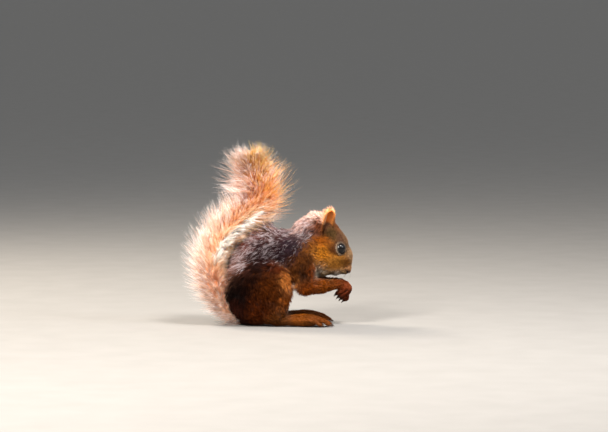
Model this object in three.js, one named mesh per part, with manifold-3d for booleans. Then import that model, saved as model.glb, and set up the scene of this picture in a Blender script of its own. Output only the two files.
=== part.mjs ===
// A red squirrel sitting upright on its haunches, its hands held together under the chin and its tail raised
// along the back, as a still, life-size model. Millimetres. +X is the way it faces, +Y its left side, +Z up.
// The origin is on the floor, at the middle of the flat that it sits on.
import * as THREE from 'three';
import { mergeVertices } from 'three/addons/utils/BufferGeometryUtils.js';
import Module from 'manifold-3d';

const wasm = await Module();
wasm.setup();

// ---------------------------------------------------------------- driving sizes

const GAP = 0.3; // kept between two nodes that meet
const FINEST = 0.18; // detail below this is dropped after a cut
const FINEST_OF_LOCKS = 0.35;
const RIGHT = -1;
const LEFT = 1;

const HEAD_CENTRE = [71.5, 0, 78]; // on the axis from the back of the skull to the nose
const HEAD_PITCH = THREE.MathUtils.degToRad(48); // the nose points this far below level

const EYE_RADIUS = 5.2;
const EYE_BULGE = 2.7; // the eyeball stands this far out of the side of the head
const LID_LONG = 5.5; // half the length of the lids' ring, along its middle
const LID_TALL = 4.8; // half its height
const LID_THICK = 0.95;

const EAR_HEIGHT = 25.5;
const EAR_HALF_WIDTH = 6.6;
const EAR_HALF_DEPTH = 4.2;
const EAR_TUFTS = 4;
const EAR_TUFT = 8; // how long a tuft is, with the part sunk into the ear

const FLOOR = 0;

// ---------------------------------------------------------------- solids

/** A manifold-3d solid of a closed three.js geometry. */
function solid(geometry) {
  const bare = new THREE.BufferGeometry();
  bare.setAttribute('position', geometry.getAttribute('position'));
  bare.setIndex(geometry.index);
  const merged = mergeVertices(bare, 1e-4);
  const corners = merged.index.array;
  const kept = [];
  for (let i = 0; i < corners.length; i += 3) {
    const [a, b, c] = [corners[i], corners[i + 1], corners[i + 2]];
    if (a !== b && b !== c && c !== a) kept.push(a, b, c);
  }
  return new wasm.Manifold(new wasm.Mesh({
    numProp: 3,
    vertProperties: new Float32Array(merged.getAttribute('position').array),
    triVerts: new Uint32Array(kept),
  }));
}

/** The largest closed surface of a solid, without scraps and sealed hollows. */
function largest(body, finest = FINEST) {
  const pieces = body.simplify(finest).decompose();
  return pieces.reduce((best, piece) => (piece.volume() > best.volume() ? piece : best));
}

/** Several solids joined into one. */
const join = (...bodies) => wasm.Manifold.union(bodies);

/** The two halves of a solid on either side of a plane through a point, half a gap away from it each. */
function part(body, point, normal) {
  const n = new THREE.Vector3(...normal).normalize();
  const along = n.dot(new THREE.Vector3(...point));
  return {
    ahead: body.trimByPlane(n.toArray(), along + GAP / 2),
    behind: body.trimByPlane(n.clone().negate().toArray(), -along + GAP / 2),
  };
}

/** What of a solid is above the floor. */
const onFloor = (body) => body.trimByPlane([0, 0, 1], FLOOR);

// ---------------------------------------------------------------- masses, as fields that are negative inside

/** An egg-shaped mass, with its X axis tipped down by an angle. */
function egg([cx, cy, cz], [rx, ry, rz], tip = 0) {
  const [c, s] = [Math.cos(tip), Math.sin(tip)];
  return (x, y, z) => {
    const [ax, az] = [x - cx, z - cz];
    const [dx, dy, dz] = [ax * c - az * s, y - cy, ax * s + az * c];
    const near = Math.hypot(dx / rx, dy / ry, dz / rz);
    const steep = Math.hypot(dx / rx ** 2, dy / ry ** 2, dz / rz ** 2);
    return steep > 1e-9 ? (near * (near - 1)) / steep : -Math.min(rx, ry, rz);
  };
}

/** A round mass from a to b, whose radius changes evenly. */
function taper([ax, ay, az], ra, [bx, by, bz], rb) {
  const [ux, uy, uz] = [bx - ax, by - ay, bz - az];
  const square = ux * ux + uy * uy + uz * uz;
  return (x, y, z) => {
    const share = ((x - ax) * ux + (y - ay) * uy + (z - az) * uz) / square;
    const t = Math.min(1, Math.max(0, share));
    return Math.hypot(x - ax - t * ux, y - ay - t * uy, z - az - t * uz) - ra - t * (rb - ra);
  };
}

/** Masses that melt into one another over a given width. */
function melt(width, ...fields) {
  return (x, y, z) => fields.reduce((sum, field) => {
    const other = field(x, y, z);
    const share = Math.max(width - Math.abs(sum - other), 0) / width;
    return Math.min(sum, other) - (share * share * width) / 4;
  }, 1e3);
}

/** The same mass on both sides of the middle plane. */
const pair = (field) => (x, y, z) => field(x, Math.abs(y), z);

/** How far a field reaches from a point in a direction, up to a limit. */
function reachOut(field, from, toward, limit, level = 0) {
  const at = (r) => field(from.x + r * toward.x, from.y + r * toward.y, from.z + r * toward.z) - level;
  let [inside, outside] = [0, limit];
  for (let r = 0; r < limit; r += 0.8) {
    if (at(r) > 0) {
      outside = r;
      break;
    }
    inside = r;
  }
  if (outside === limit && at(limit) <= 0) return limit;
  for (let i = 0; i < 12; i++) {
    const middle = (inside + outside) / 2;
    if (at(middle) > 0) outside = middle;
    else inside = middle;
  }
  return inside;
}

/** The curve through a list of points. */
const through = (points) => new THREE.CatmullRomCurve3(points.map((p) => new THREE.Vector3(...p)));

/** The place on an axis at a share of its length, with the directions along, across and up from it. */
function frameOn(curve, share, across) {
  const tangent = curve.getTangentAt(share);
  const side = across.clone().addScaledVector(tangent, -across.dot(tangent)).normalize();
  return { place: curve.getPointAt(share), tangent, side, up: side.clone().cross(tangent) };
}

/**
 * A capsule's grid laid along an axis. Each vertex is moved out from the axis by size(place, direction, share),
 * and the caps' vertices fan out from the ends of the axis.
 */
function lay({ curve, across = [0, 1, 0], around, along, caps, size }) {
  const grid = new THREE.CapsuleGeometry(1, 1, caps, around, along);
  grid.deleteAttribute('normal');
  grid.deleteAttribute('uv');
  const merged = mergeVertices(grid);
  const place = merged.getAttribute('position');
  const acrossVector = new THREE.Vector3(...across);
  const v = new THREE.Vector3();
  for (let i = 0; i < place.count; i++) {
    v.fromBufferAttribute(place, i);
    const share = THREE.MathUtils.clamp(v.y + 0.5, 0, 1);
    const frame = frameOn(curve, share, acrossVector);
    const toward = frame.side.clone().multiplyScalar(v.x)
      .addScaledVector(frame.tangent, v.y + 0.5 - share)
      .addScaledVector(frame.up, v.z)
      .normalize();
    const out = size(frame.place, toward, share, Math.atan2(v.z, v.x));
    place.setXYZ(i, ...frame.place.addScaledVector(toward, out).toArray());
  }
  return solid(merged);
}

/** The skin of a field, laid along an axis inside it. A level above 0 gives the skin that much bigger. */
function skin({ field, axis, across, around, along, caps, reach, level = 0 }) {
  const size = (from, toward) => reachOut(field, from, toward, reach, level);
  return lay({ curve: through(axis), across, around, along, caps, size });
}

/**
 * A flat, tapered lock of hair along a curve, with a four-sided section that ends in a point.
 * flat is the direction across its width.
 */
function lock({ curve, flat, width, thickness, rows }) {
  const cone = new THREE.ConeGeometry(1, 1, 4, rows);
  cone.deleteAttribute('normal');
  cone.deleteAttribute('uv');
  const merged = mergeVertices(cone);
  const place = merged.getAttribute('position');
  for (let i = 0; i < place.count; i++) {
    const share = THREE.MathUtils.clamp(place.getY(i) + 0.5, 0, 1);
    const full = (1 - share ** 4) * (0.6 + 0.4 * Math.sin(Math.PI * share)) / Math.max(1 - share, 1e-6);
    const { place: at, side, up } = frameOn(curve, share, flat);
    at.addScaledVector(side, place.getX(i) * full * width / 2);
    at.addScaledVector(up, place.getZ(i) * full * thickness / 2);
    place.setXYZ(i, ...at.toArray());
  }
  return solid(merged);
}

/** A source of random numbers from 0 to 1 that always gives the same ones for a seed. */
function seeded(seed) {
  let state = seed;
  return () => {
    state = (state + 0x6d2b79f5) | 0;
    let mixed = Math.imul(state ^ (state >>> 15), 1 | state);
    mixed = (mixed + Math.imul(mixed ^ (mixed >>> 7), 61 | mixed)) ^ mixed;
    return ((mixed ^ (mixed >>> 14)) >>> 0) / 2 ** 32;
  };
}

// ---------------------------------------------------------------- the head's own frame

const HEAD_COS = Math.cos(HEAD_PITCH);
const HEAD_SIN = Math.sin(HEAD_PITCH);

/** A point of the head's own frame (forward to the nose, left, up to the crown) in the part's frame. */
function fromHead([x, y, z]) {
  return [
    HEAD_CENTRE[0] + x * HEAD_COS + z * HEAD_SIN,
    HEAD_CENTRE[1] + y,
    HEAD_CENTRE[2] - x * HEAD_SIN + z * HEAD_COS,
  ];
}

/** A direction of the head's own frame, as a vector in the part's frame. */
function headWay([x, y, z]) {
  return new THREE.Vector3(x * HEAD_COS + z * HEAD_SIN, y, z * HEAD_COS - x * HEAD_SIN).normalize();
}

/** A field of the head's own frame, in the part's frame. */
function headField(field) {
  return (x, y, z) => {
    const [dx, dz] = [x - HEAD_CENTRE[0], z - HEAD_CENTRE[2]];
    return field(dx * HEAD_COS - dz * HEAD_SIN, y - HEAD_CENTRE[1], dx * HEAD_SIN + dz * HEAD_COS);
  };
}

const SKULL = melt(
  5,
  egg([-5, 0, 0.5], [16, 14.5, 13]),
  taper([5, 0, -0.5], 12.2, [15, 0, -2.2], 9.2),
  taper([15, 0, -2.2], 9, [26.5, 0, -7], 5),
  pair(egg([4, 7.5, -7.5], [13, 8.5, 9.5])),
  taper([4, 0, -9], 9.5, [19, 0, -13.5], 4.6),
  pair(egg([22.5, 3, -10], [6.2, 3.6, 4.6])),
);
const FACE = melt(
  1.6,
  SKULL,
  egg([21.5, 0, -15.8], [4.8, 3.6, 3.2]),
  egg([30, 0, -6.6], [1.9, 2.7, 2]),
);
const HEAD_MASS = headField(FACE);

// ---------------------------------------------------------------- the trunk

const TRUNK = melt(
  9,
  egg([-5, 0, 26], [26, 24, 28]),
  egg([-1, 0, 50], [27, 24, 34]),
  egg([6.5, 0, 69], [21.5, 21, 29.5]),
  egg([36, 0, 61], [23, 20, 26]),
  taper([37, 0, 74], 17, [55, 0, 91.5], 18),
  taper([46, 0, 60], 15, [57, 0, 61], 14),
  egg([66, 0, 60.5], [12, 10, 13.5]),
);
const BODY = melt(8, TRUNK, HEAD_MASS);

const TRUNK_AXIS = [[-5, 0, 24], [-2, 0, 40], [9, 0, 60], [24, 0, 71], [40, 0, 76], [58, 0, 80]];
const NAPE = { point: [61, 0, 100], normal: [0.985, 0, 0.17] }; // between the head and the neck
const SHOULDERS = { point: [40, 0, 78], normal: [0.94, 0, 0.34] }; // between the neck and the torso

/** The trunk with the neck, level millimetres bigger. */
const trunkSkin = (level) => skin({
  field: BODY, axis: TRUNK_AXIS, around: 24, along: 15, caps: 4, reach: 48, level,
});

const trunk = trunkSkin(0);
const roundTrunk = trunkSkin(GAP + 0.15); // what the other nodes are cut back to
const { ahead: neckOn, behind: torsoWhole } = part(trunk, SHOULDERS.point, SHOULDERS.normal);
const neck = part(neckOn, NAPE.point, NAPE.normal).behind;
const torso = onFloor(torsoWhole);

// ---------------------------------------------------------------- the head

const HEAD_AXIS = [[-7, 0, -1], [2, 0, -3], [12, 0, -6], [21, 0, -8.5]].map(fromHead);

/** The head with a stub of the neck, level millimetres bigger. */
const headSkin = (level) => skin({
  field: BODY, axis: HEAD_AXIS, around: 28, along: 11, caps: 6, reach: 46, level,
});

/** The place of an eye: its centre, and the way it looks, square to the side of the head. */
function eyeOf(side) {
  const from = new THREE.Vector3(...fromHead([7.4, 0, 1.2]));
  const toward = headWay([0.1, side, 0.12]);
  const at = from.addScaledVector(toward, reachOut(HEAD_MASS, from, toward, 30));
  const slope = [[1, 0, 0], [0, 1, 0], [0, 0, 1]].map(([x, y, z]) => (
    HEAD_MASS(at.x + x, at.y + y, at.z + z) - HEAD_MASS(at.x - x, at.y - y, at.z - z)
  ));
  const looks = new THREE.Vector3(...slope).normalize();
  return { centre: at.addScaledVector(looks, EYE_BULGE - EYE_RADIUS), looks };
}

/** A solid ball. */
function ball(centre, radius, around = 12, along = 9) {
  return solid(new THREE.SphereGeometry(radius, around, along).translate(...centre.toArray()));
}

/** The lids as a raised ring round the eyeball, longer than it is tall, with its front corner lower. */
function lidsOf(side) {
  const { centre, looks } = eyeOf(side);
  const long = headWay([0.95, 0, -0.3]);
  const across = long.clone().addScaledVector(looks, -long.dot(looks)).normalize();
  const ring = new THREE.TorusGeometry(1, LID_THICK / LID_TALL, 6, 16);
  ring.scale(LID_LONG, LID_TALL, LID_TALL);
  const basis = new THREE.Matrix4().makeBasis(across, looks.clone().cross(across), looks);
  ring.applyMatrix4(basis);
  ring.translate(...centre.clone().addScaledVector(looks, EYE_RADIUS * 0.44).toArray());
  return solid(ring);
}

/** The mouth's line as a thin blade that is cut into the face no deeper than the lips. */
function mouthLine() {
  const outline = new THREE.Shape([
    [14.5, -11.4], [20, -12.2], [26, -12.3], [36, -11], [36, -12.2], [26, -13.3], [20, -13],
  ].map(([x, z]) => new THREE.Vector2(x, z)));
  const blade = new THREE.ExtrudeGeometry(outline, { depth: 30, bevelEnabled: false, steps: 1 });
  blade.translate(0, 0, -15);
  blade.rotateX(Math.PI / 2);
  const toPart = new THREE.Matrix4().makeBasis(
    headWay([1, 0, 0]), new THREE.Vector3(0, 1, 0), headWay([0, 0, 1]),
  ).setPosition(...HEAD_CENTRE);
  return solid(blade.applyMatrix4(toPart)).subtract(headSkin(-1.1));
}

/** A nostril, as a small hollow that slants out and back. */
function nostril(side) {
  const hollow = new THREE.SphereGeometry(1, 6, 5).scale(1.5, 0.7, 0.9);
  hollow.rotateZ(-side * 0.5);
  hollow.rotateY(HEAD_PITCH);
  return solid(hollow.translate(...fromHead([31.4, side * 1.6, -6])));
}

/** The whole head, without the ears and eyes, cut off at the nape. */
function makeHead() {
  const lids = [RIGHT, LEFT].map(lidsOf);
  const sockets = [RIGHT, LEFT].map((side) => ball(eyeOf(side).centre, EYE_RADIUS + GAP));
  const hollows = [...sockets, mouthLine(), ...[RIGHT, LEFT].map(nostril)];
  const whole = join(headSkin(0), ...lids).subtract(join(...hollows));
  return largest(part(whole, NAPE.point, NAPE.normal).ahead);
}

const head = makeHead();
const roundHead = headSkin(GAP + 0.15);

// ---------------------------------------------------------------- the ears

/** Where an ear grows, and its own directions: up to its tip, out of its cup, and across. */
function earFrame(side) {
  const up = new THREE.Vector3(0.18, side * 0.14, 1).normalize();
  const faces = new THREE.Vector3(0.38, side * 0.92, 0);
  const out = faces.addScaledVector(up, -faces.dot(up)).normalize();
  return { root: new THREE.Vector3(64, side * 12, 86), up, out, across: up.clone().cross(out) };
}

/** A pointed oval shell half as deep as it is wide, in the ear's own directions. */
function earOval({ root, up, out, across }, height, halfWidth, halfDepth, shift) {
  const oval = new THREE.SphereGeometry(1, 12, 9);
  const place = oval.getAttribute('position');
  for (let i = 0; i < place.count; i++) {
    const share = (place.getY(i) + 1) / 2;
    const pointed = 1.12 - 0.42 * share ** 2;
    place.setXYZ(
      i,
      place.getX(i) * halfWidth * pointed,
      share * height,
      place.getZ(i) * halfDepth * pointed + shift,
    );
  }
  oval.applyMatrix4(new THREE.Matrix4().makeBasis(across.clone(), up.clone(), out.clone()));
  return oval.translate(...root.toArray());
}

/** A few thin tufts that stand off the ear's tip and lean back. */
function earTufts({ root, up, out, across }) {
  return Array.from({ length: EAR_TUFTS }, (_, i) => {
    const spread = (i / (EAR_TUFTS - 1) - 0.5) * 2;
    const start = root.clone().addScaledVector(up, EAR_HEIGHT * (0.86 - 0.1 * Math.abs(spread)))
      .addScaledVector(across, spread * 2.8).addScaledVector(out, -1.8);
    const middle = start.clone().addScaledVector(up, EAR_TUFT * 0.55).addScaledVector(across, spread * 0.6);
    const end = middle.clone().addScaledVector(up, EAR_TUFT * 0.45)
      .addScaledVector(across, spread * 1.2).addScaledVector(out, -1.4);
    const curve = new THREE.QuadraticBezierCurve3(start, middle, end);
    return lock({ curve, flat: across, width: 2.8, thickness: 1.3, rows: 3 });
  });
}

/** An ear: an oval with its cup hollowed out, cut back to the head and neck that it grows from. */
function makeEar(side) {
  const frame = earFrame(side);
  const shell = solid(earOval(frame, EAR_HEIGHT, EAR_HALF_WIDTH, EAR_HALF_DEPTH, 0));
  const cupFrame = { ...frame, root: frame.root.clone().addScaledVector(frame.up, 4) };
  const cup = solid(earOval(cupFrame, EAR_HEIGHT - 5.6, EAR_HALF_WIDTH - 1.2, EAR_HALF_DEPTH, 2.3));
  return largest(join(shell.subtract(cup), ...earTufts(frame)).subtract(roundHead).subtract(roundTrunk));
}

// ---------------------------------------------------------------- the limbs

/** The mass of a hind leg above its foot: haunch, knee and shank. */
const hindLeg = (side) => melt(
  8,
  egg([-2, side * 16, 34], [29.5, 16, 33]),
  egg([16.5, side * 19.5, 42], [15, 12, 21.5]),
  taper([19, side * 20.5, 30], 12.3, [16.5, side * 20.5, 12], 10.5),
);
const KNEE_CUT = { point: [18, 0, 26], normal: [0.3, 0, 1] };

/** A hind leg, cut back to the trunk and parted below the knee into thigh and shank. */
function makeHindLeg(side) {
  const whole = (level) => skin({
    field: hindLeg(side), axis: [[-8, side * 17, 32], [3, side * 18, 33], [14, side * 19.5, 32]],
    around: 20, along: 4, caps: 6, reach: 44, level,
  });
  const leg = onFloor(whole(0)).subtract(roundTrunk);
  const { ahead, behind } = part(leg, KNEE_CUT.point, KNEE_CUT.normal);
  return { thigh: largest(ahead), shank: largest(behind), round: whole(GAP + 0.15) };
}

const TOES = [
  { out: -6.3, knuckle: 51, tip: 59, arch: 6.4 },
  { out: -3.2, knuckle: 56, tip: 66, arch: 8.8 },
  { out: 0.2, knuckle: 57.5, tip: 69, arch: 9.4 },
  { out: 3.6, knuckle: 56.5, tip: 67.5, arch: 9 },
  { out: 6.6, knuckle: 51, tip: 60, arch: 6.6 },
];
const TOE_RADIUS = 2.35;
const FOOT_HEEL = [17, 20, 6];
const FOOT_BALL = [50, 22, 6];
const CLAW_LENGTH = 5;

/** A claw: a thin cone that bends down from the end of a digit. */
function claw(from, ahead, length, radius, bend = [0, 0, -1]) {
  const forward = new THREE.Vector3(...ahead).normalize();
  const start = new THREE.Vector3(...from).addScaledVector(forward, -1.2);
  const middle = start.clone().addScaledVector(forward, length * 0.62);
  const end = middle.clone().addScaledVector(forward, length * 0.36)
    .addScaledVector(new THREE.Vector3(...bend), length * 0.42);
  const curve = new THREE.QuadraticBezierCurve3(start, middle, end);
  const across = new THREE.Vector3(...bend).cross(forward).normalize();
  const size = (place, toward, share) => radius * (1 - 0.82 * share);
  return lay({ curve, across: across.toArray(), around: 4, along: 1, caps: 1, size });
}

/** A digit as a row of round joints that melt together. */
function digit(points, radius, around = 6) {
  const joints = points.slice(1).map((p, i) => taper(points[i], radius, p, radius * 0.92));
  return skin({ field: melt(1.5, ...joints), axis: points, around, along: 3, caps: 1, reach: radius * 2.5 });
}

/** A hind foot: the long sole and five toes with claws, flat on the floor. */
function makeFoot(side, roundLeg) {
  const heel = [FOOT_HEEL[0], side * FOOT_HEEL[1], FOOT_HEEL[2]];
  const forefoot = [FOOT_BALL[0], side * FOOT_BALL[1], FOOT_BALL[2]];
  const sole = skin({
    field: melt(
      5,
      taper(heel, 6.2, forefoot, 5),
      egg([46, side * 21.8, 5.8], [12, 8.6, 5.6]),
    ),
    axis: [heel, [33, side * 21, 5.4], forefoot], around: 12, along: 5, caps: 3, reach: 16,
  });
  const toes = TOES.flatMap(({ out, knuckle, tip, arch }) => {
    const y = (spread) => side * (FOOT_BALL[1] + out * spread);
    const end = [tip, y(1.5), TOE_RADIUS];
    const points = [[knuckle - 9, y(0.9), 6], [knuckle, y(1.15), arch], end];
    return [digit(points, TOE_RADIUS), claw(end, [1, side * out * 0.03, 0.1], CLAW_LENGTH, 1.2)];
  });
  return largest(onFloor(join(sole, ...toes)).subtract(roundLeg).subtract(roundTrunk));
}

const SHOULDER = [42, 14, 62];
const ELBOW = [43.5, 20, 37];
const WRIST = [77.5, 8.5, 39.5];

/** The same point on the given side. */
const on = (side, [x, y, z]) => [x, side * y, z];

/** The mass of a foreleg from the shoulder to the wrist. */
const foreleg = (side) => melt(
  5,
  egg(on(side, [42.5, 13, 58]), [14, 10.5, 19]),
  taper(on(side, SHOULDER), 10, on(side, ELBOW), 7),
  taper(on(side, ELBOW), 7.4, on(side, [60, 14.5, 38]), 6.8),
  taper(on(side, [60, 14.5, 38]), 6.8, on(side, WRIST), 4.6),
);
const ELBOW_CUT = { point: [46, 0, 40], normal: [1, 0, -1] };
const WRIST_CUT = { point: [76, 0, 39], normal: [1, 0, 0.1] };

/** A foreleg, cut back to the trunk and parted at the elbow and wrist. */
function makeForeleg(side) {
  const field = foreleg(side);
  const upper = skin({
    field, axis: [on(side, [42, 14, 66]), on(side, [43, 16, 52]), on(side, ELBOW)],
    around: 14, along: 5, caps: 3, reach: 26,
  });
  const fore = skin({
    field, axis: [on(side, ELBOW), on(side, [60, 14.5, 38]), on(side, WRIST)],
    around: 12, along: 6, caps: 3, reach: 20,
  });
  const clear = (body) => body.subtract(roundTrunk).subtract(roundHead);
  const behindWrist = part(fore, WRIST_CUT.point, WRIST_CUT.normal).behind;
  return {
    upperArm: largest(clear(part(upper, ELBOW_CUT.point, ELBOW_CUT.normal).behind)),
    forearm: largest(clear(part(behindWrist, ELBOW_CUT.point, ELBOW_CUT.normal).ahead)),
  };
}

const FINGER_RADIUS = 1.75;
const FINGERS = [ // knuckle, middle joint and tip of each, on the left hand
  [[80.5, 9.6, 33.5], [77.6, 9.4, 31.3], [74.6, 7.4, 29.8]],
  [[82.6, 8.4, 31], [79.6, 8, 28], [76.8, 6, 27.2]],
  [[84.4, 6.9, 28.8], [81.8, 6.2, 25.9], [79.2, 4.4, 25.2]],
  [[85.6, 5.4, 27.2], [84.2, 4.4, 24.4], [81.8, 3.2, 23.6]],
];

/** A hand bent down at the wrist, with four fingers that curl back under the palm and a small thumb. */
function makeHand(side) {
  const palm = skin({
    field: melt(
      4,
      taper(on(side, WRIST), 4.6, on(side, [83.5, 7.2, 36]), 4.6),
      egg(on(side, [83.5, 6.8, 32.6]), [5, 4.6, 6.6], 0.5),
    ),
    axis: [on(side, WRIST), on(side, [82, 7.6, 37.5]), on(side, [83.5, 6.8, 32.5])],
    around: 12, along: 4, caps: 3, reach: 14,
  });
  const digits = FINGERS.flatMap((joints) => {
    const points = joints.map((joint) => on(side, joint));
    return [digit(points, FINGER_RADIUS), claw(points[2], [-0.8, -side * 0.3, -0.4], 4, 0.95, [-0.2, 0, -1])];
  });
  const thumb = digit([on(side, [80, 5, 35]), on(side, [77.8, 3.6, 33])], 1.5);
  const { ahead } = part(palm, WRIST_CUT.point, WRIST_CUT.normal);
  return largest(join(ahead, thumb, ...digits).subtract(roundHead));
}

// ---------------------------------------------------------------- the tail

const TAIL_AXIS = through([
  [-13, 0, 7.5], [-26, 0, 12], [-37, 0, 28], [-42, 0, 48], [-38, 0, 70], [-26, 0, 90],
  [-14, 0, 104], [-4, 0, 117], [0, 0, 130], [0, 0, 142], [-3, 0, 152], [-7, 0, 159],
]);
// How far the hair reaches from the axis, evenly spaced along it: behind, to each side, and towards the back.
const TAIL_REACH = {
  behind: [13, 17, 23, 30, 34, 35, 33, 31, 32, 34, 32, 25],
  beside: [13, 20, 24, 27, 29, 29, 29, 30, 30, 29, 27, 23],
  before: [8, 11, 13, 16, 17, 17, 20, 28, 34, 33, 30, 24],
};
const TAIL_CUTS = [0.36, 0.6]; // shares of the axis where it is parted, the second at the bend
const TAIL_LEAN = THREE.MathUtils.degToRad(45); // half the angle of the cone that parts it along the coat's lie
const LIE_AHEAD = 0.14; // the cone opens the way the axis runs this share further on, where the locks' tips are
const TAIL_LENGTH = TAIL_AXIS.getLength();
const CORE_SHARE = 0.5; // of the reach of the hair is solid core
const CORE_LEAST = 8.6; // at the tail's root, where it rests on the floor
const RING_SPACING = 12; // between one ring of locks and the next, along the axis
const LOCK_SPACING = 16.5; // between the locks of one ring
const LOCK_WIDTH = 16;
const LOCK_THICKNESS = 8;
const PRESSED = 20.5; // where the hair towards the back is shorter than this it is pressed flat
const LOCK_ADVANCE = 0.9; // a lock's tip is this share of its reach further along the axis than its root

/** A value at a share of the way along an evenly spaced list. */
function atShare(list, share) {
  const i = Math.min(list.length - 2, Math.floor(share * (list.length - 1)));
  return THREE.MathUtils.lerp(list[i], list[i + 1], share * (list.length - 1) - i);
}

/** How far the tail's hair reaches from its axis at a share of its length, at an angle round it. */
function fluff(share, angle) {
  const on = Math.min(share, 1);
  const across = Math.cos(angle) / atShare(TAIL_REACH.beside, on);
  const onward = Math.sin(angle) / atShare(Math.sin(angle) > 0 ? TAIL_REACH.before : TAIL_REACH.behind, on);
  const reach = 1 / Math.hypot(across, onward);
  const past = (share - on) * TAIL_LENGTH / TAIL_REACH.beside.at(-1);
  return reach * Math.sqrt(Math.max(0, 1 - past * past));
}

/** A place at a share of the tail's length, also past its end, at an angle round it and a distance from it. */
function besideTail(share, angle, distance) {
  const on = Math.min(share, 1);
  const { place, tangent, side, up } = frameOn(TAIL_AXIS, on, new THREE.Vector3(0, 1, 0));
  return place.addScaledVector(tangent, (share - on) * TAIL_LENGTH)
    .addScaledVector(side, distance * Math.cos(angle))
    .addScaledVector(up, distance * Math.sin(angle));
}

/** One lock of the tail. Its root is sunk in the core at a share of the axis, and its tip is at the coat's edge. */
function tailLock(share, angle, advance, random) {
  const sway = angle + 0.36 * (random() - 0.5);
  const tipShare = share + advance * (0.85 + 0.3 * random()) / TAIL_LENGTH;
  const reach = fluff(share, angle);
  const root = besideTail(share, angle, reach * CORE_SHARE * 0.5);
  const bend = besideTail(THREE.MathUtils.lerp(share, tipShare, 0.6), (angle + sway) / 2, reach * 0.66);
  const tip = besideTail(tipShare, sway, fluff(tipShare, sway) * (0.96 + 0.1 * random()));
  for (const point of [bend, tip]) point.z = Math.max(point.z, FLOOR);
  const around = besideTail(share, angle + Math.PI / 2, 1).sub(besideTail(share, angle, 0));
  const outward = besideTail(share, angle, 1).sub(besideTail(share, angle, 0));
  return lock({
    curve: new THREE.QuadraticBezierCurve3(root, bend, tip),
    flat: around.addScaledVector(outward, 1.6 * (random() - 0.5)),
    width: LOCK_WIDTH * (0.85 + 0.3 * random()),
    thickness: LOCK_THICKNESS,
    rows: 3,
  });
}

/** Rings of locks from a share of the tail's length to another. */
function tailLocks(from, to, random) {
  const rings = Math.round((to - from) * TAIL_LENGTH / RING_SPACING);
  return Array.from({ length: rings }, (_, ring) => {
    const share = THREE.MathUtils.lerp(from, to, (ring + 0.5) / rings);
    const count = Math.round(2 * Math.PI * fluff(share, 0) * 0.66 / LOCK_SPACING);
    return Array.from({ length: count }, (_, i) => {
      const angle = 2 * Math.PI * (i + 0.5 * (ring % 2) + 0.3 * (random() - 0.5)) / count;
      const reach = fluff(share, angle);
      if (Math.sin(angle) > 0.2 && reach < PRESSED) return [];
      return tailLock(share, angle, LOCK_ADVANCE * reach, random);
    }).flat();
  }).flat();
}

/** The locks that close the tail's end, fanned round its axis. */
function endLocks(random) {
  return [[0.96, 7, 25], [0.99, 5, 24], [1, 2, 22]].flatMap(([share, count, advance], ring) => (
    Array.from({ length: count }, (_, i) => {
      const angle = 2 * Math.PI * (i + 0.5 * ring) / count;
      return tailLock(share, angle, advance, random);
    })
  ));
}

/** A cone with its point on the axis at a share of its length, moved on by an offset, that opens towards the tip. */
function lieCone(share, offset) {
  const toward = TAIL_AXIS.getTangentAt(share + LIE_AHEAD);
  const height = 160;
  const cone = new THREE.ConeGeometry(height * Math.tan(TAIL_LEAN), height, 24);
  cone.rotateX(Math.PI).translate(0, height / 2, 0);
  cone.applyQuaternion(new THREE.Quaternion().setFromUnitVectors(new THREE.Vector3(0, 1, 0), toward));
  return solid(cone.translate(...TAIL_AXIS.getPointAt(share).addScaledVector(toward, offset).toArray()));
}

/** The tail in three lengths of core and locks, cut back to the body that it lies along. */
function makeTail(bodies) {
  const random = seeded(11);
  const size = (place, toward, share, angle) => Math.max(fluff(share, angle) * CORE_SHARE, CORE_LEAST);
  const core = lay({ curve: TAIL_AXIS, around: 12, along: 16, caps: 2, size });
  const slip = GAP / 2 / Math.sin(TAIL_LEAN);
  const [first, second] = TAIL_CUTS;
  const clear = (whole) => bodies.reduce((tail, body) => tail.subtract(body), onFloor(whole));
  const base = join(core, ...tailLocks(0, first, random));
  const middle = join(core, ...tailLocks(first, second, random));
  const tip = join(core, ...tailLocks(second, 0.95, random), ...endLocks(random));
  return {
    base: clear(base.subtract(lieCone(first, -slip))),
    middle: clear(middle.intersect(lieCone(first, slip)).subtract(lieCone(second, -slip))),
    tip: clear(tip.intersect(lieCone(second, slip))),
  };
}

// ---------------------------------------------------------------- the squirrel

const BACK_FUR = { color: 0x6e3a22, roughness: 0.85 };
const FACE_FUR = { color: 0x9a5526, roughness: 0.8 };
const LIMB_FUR = { color: 0xa9551f, roughness: 0.8 };
const TAIL_FUR = { color: 0xd98a55, roughness: 0.9 };
const EYE_GLOSS = { color: 0x0b0908, roughness: 0.08 };

/** A named mesh with its own material. */
function node(name, geometry, finish) {
  const mesh = new THREE.Mesh(geometry, new THREE.MeshStandardMaterial({ metalness: 0, ...finish }));
  mesh.name = name;
  return mesh;
}

/** The three.js geometry of a solid. */
function geometryOf(body, finest = FINEST) {
  const { vertProperties, triVerts, numProp, numVert } = largest(body, finest).getMesh();
  const corners = new Float32Array(numVert * 3);
  for (let i = 0; i < numVert; i++) corners.set(vertProperties.subarray(i * numProp, i * numProp + 3), i * 3);
  const geometry = new THREE.BufferGeometry();
  geometry.setAttribute('position', new THREE.BufferAttribute(corners, 3));
  geometry.setIndex(new THREE.BufferAttribute(triVerts, 1));
  geometry.computeVertexNormals();
  return geometry;
}

const squirrel = new THREE.Group();
const middle = new THREE.Group();
middle.add(
  node('torso', geometryOf(torso), BACK_FUR),
  node('neck', geometryOf(neck), FACE_FUR),
  node('head', geometryOf(head), FACE_FUR),
);

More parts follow.
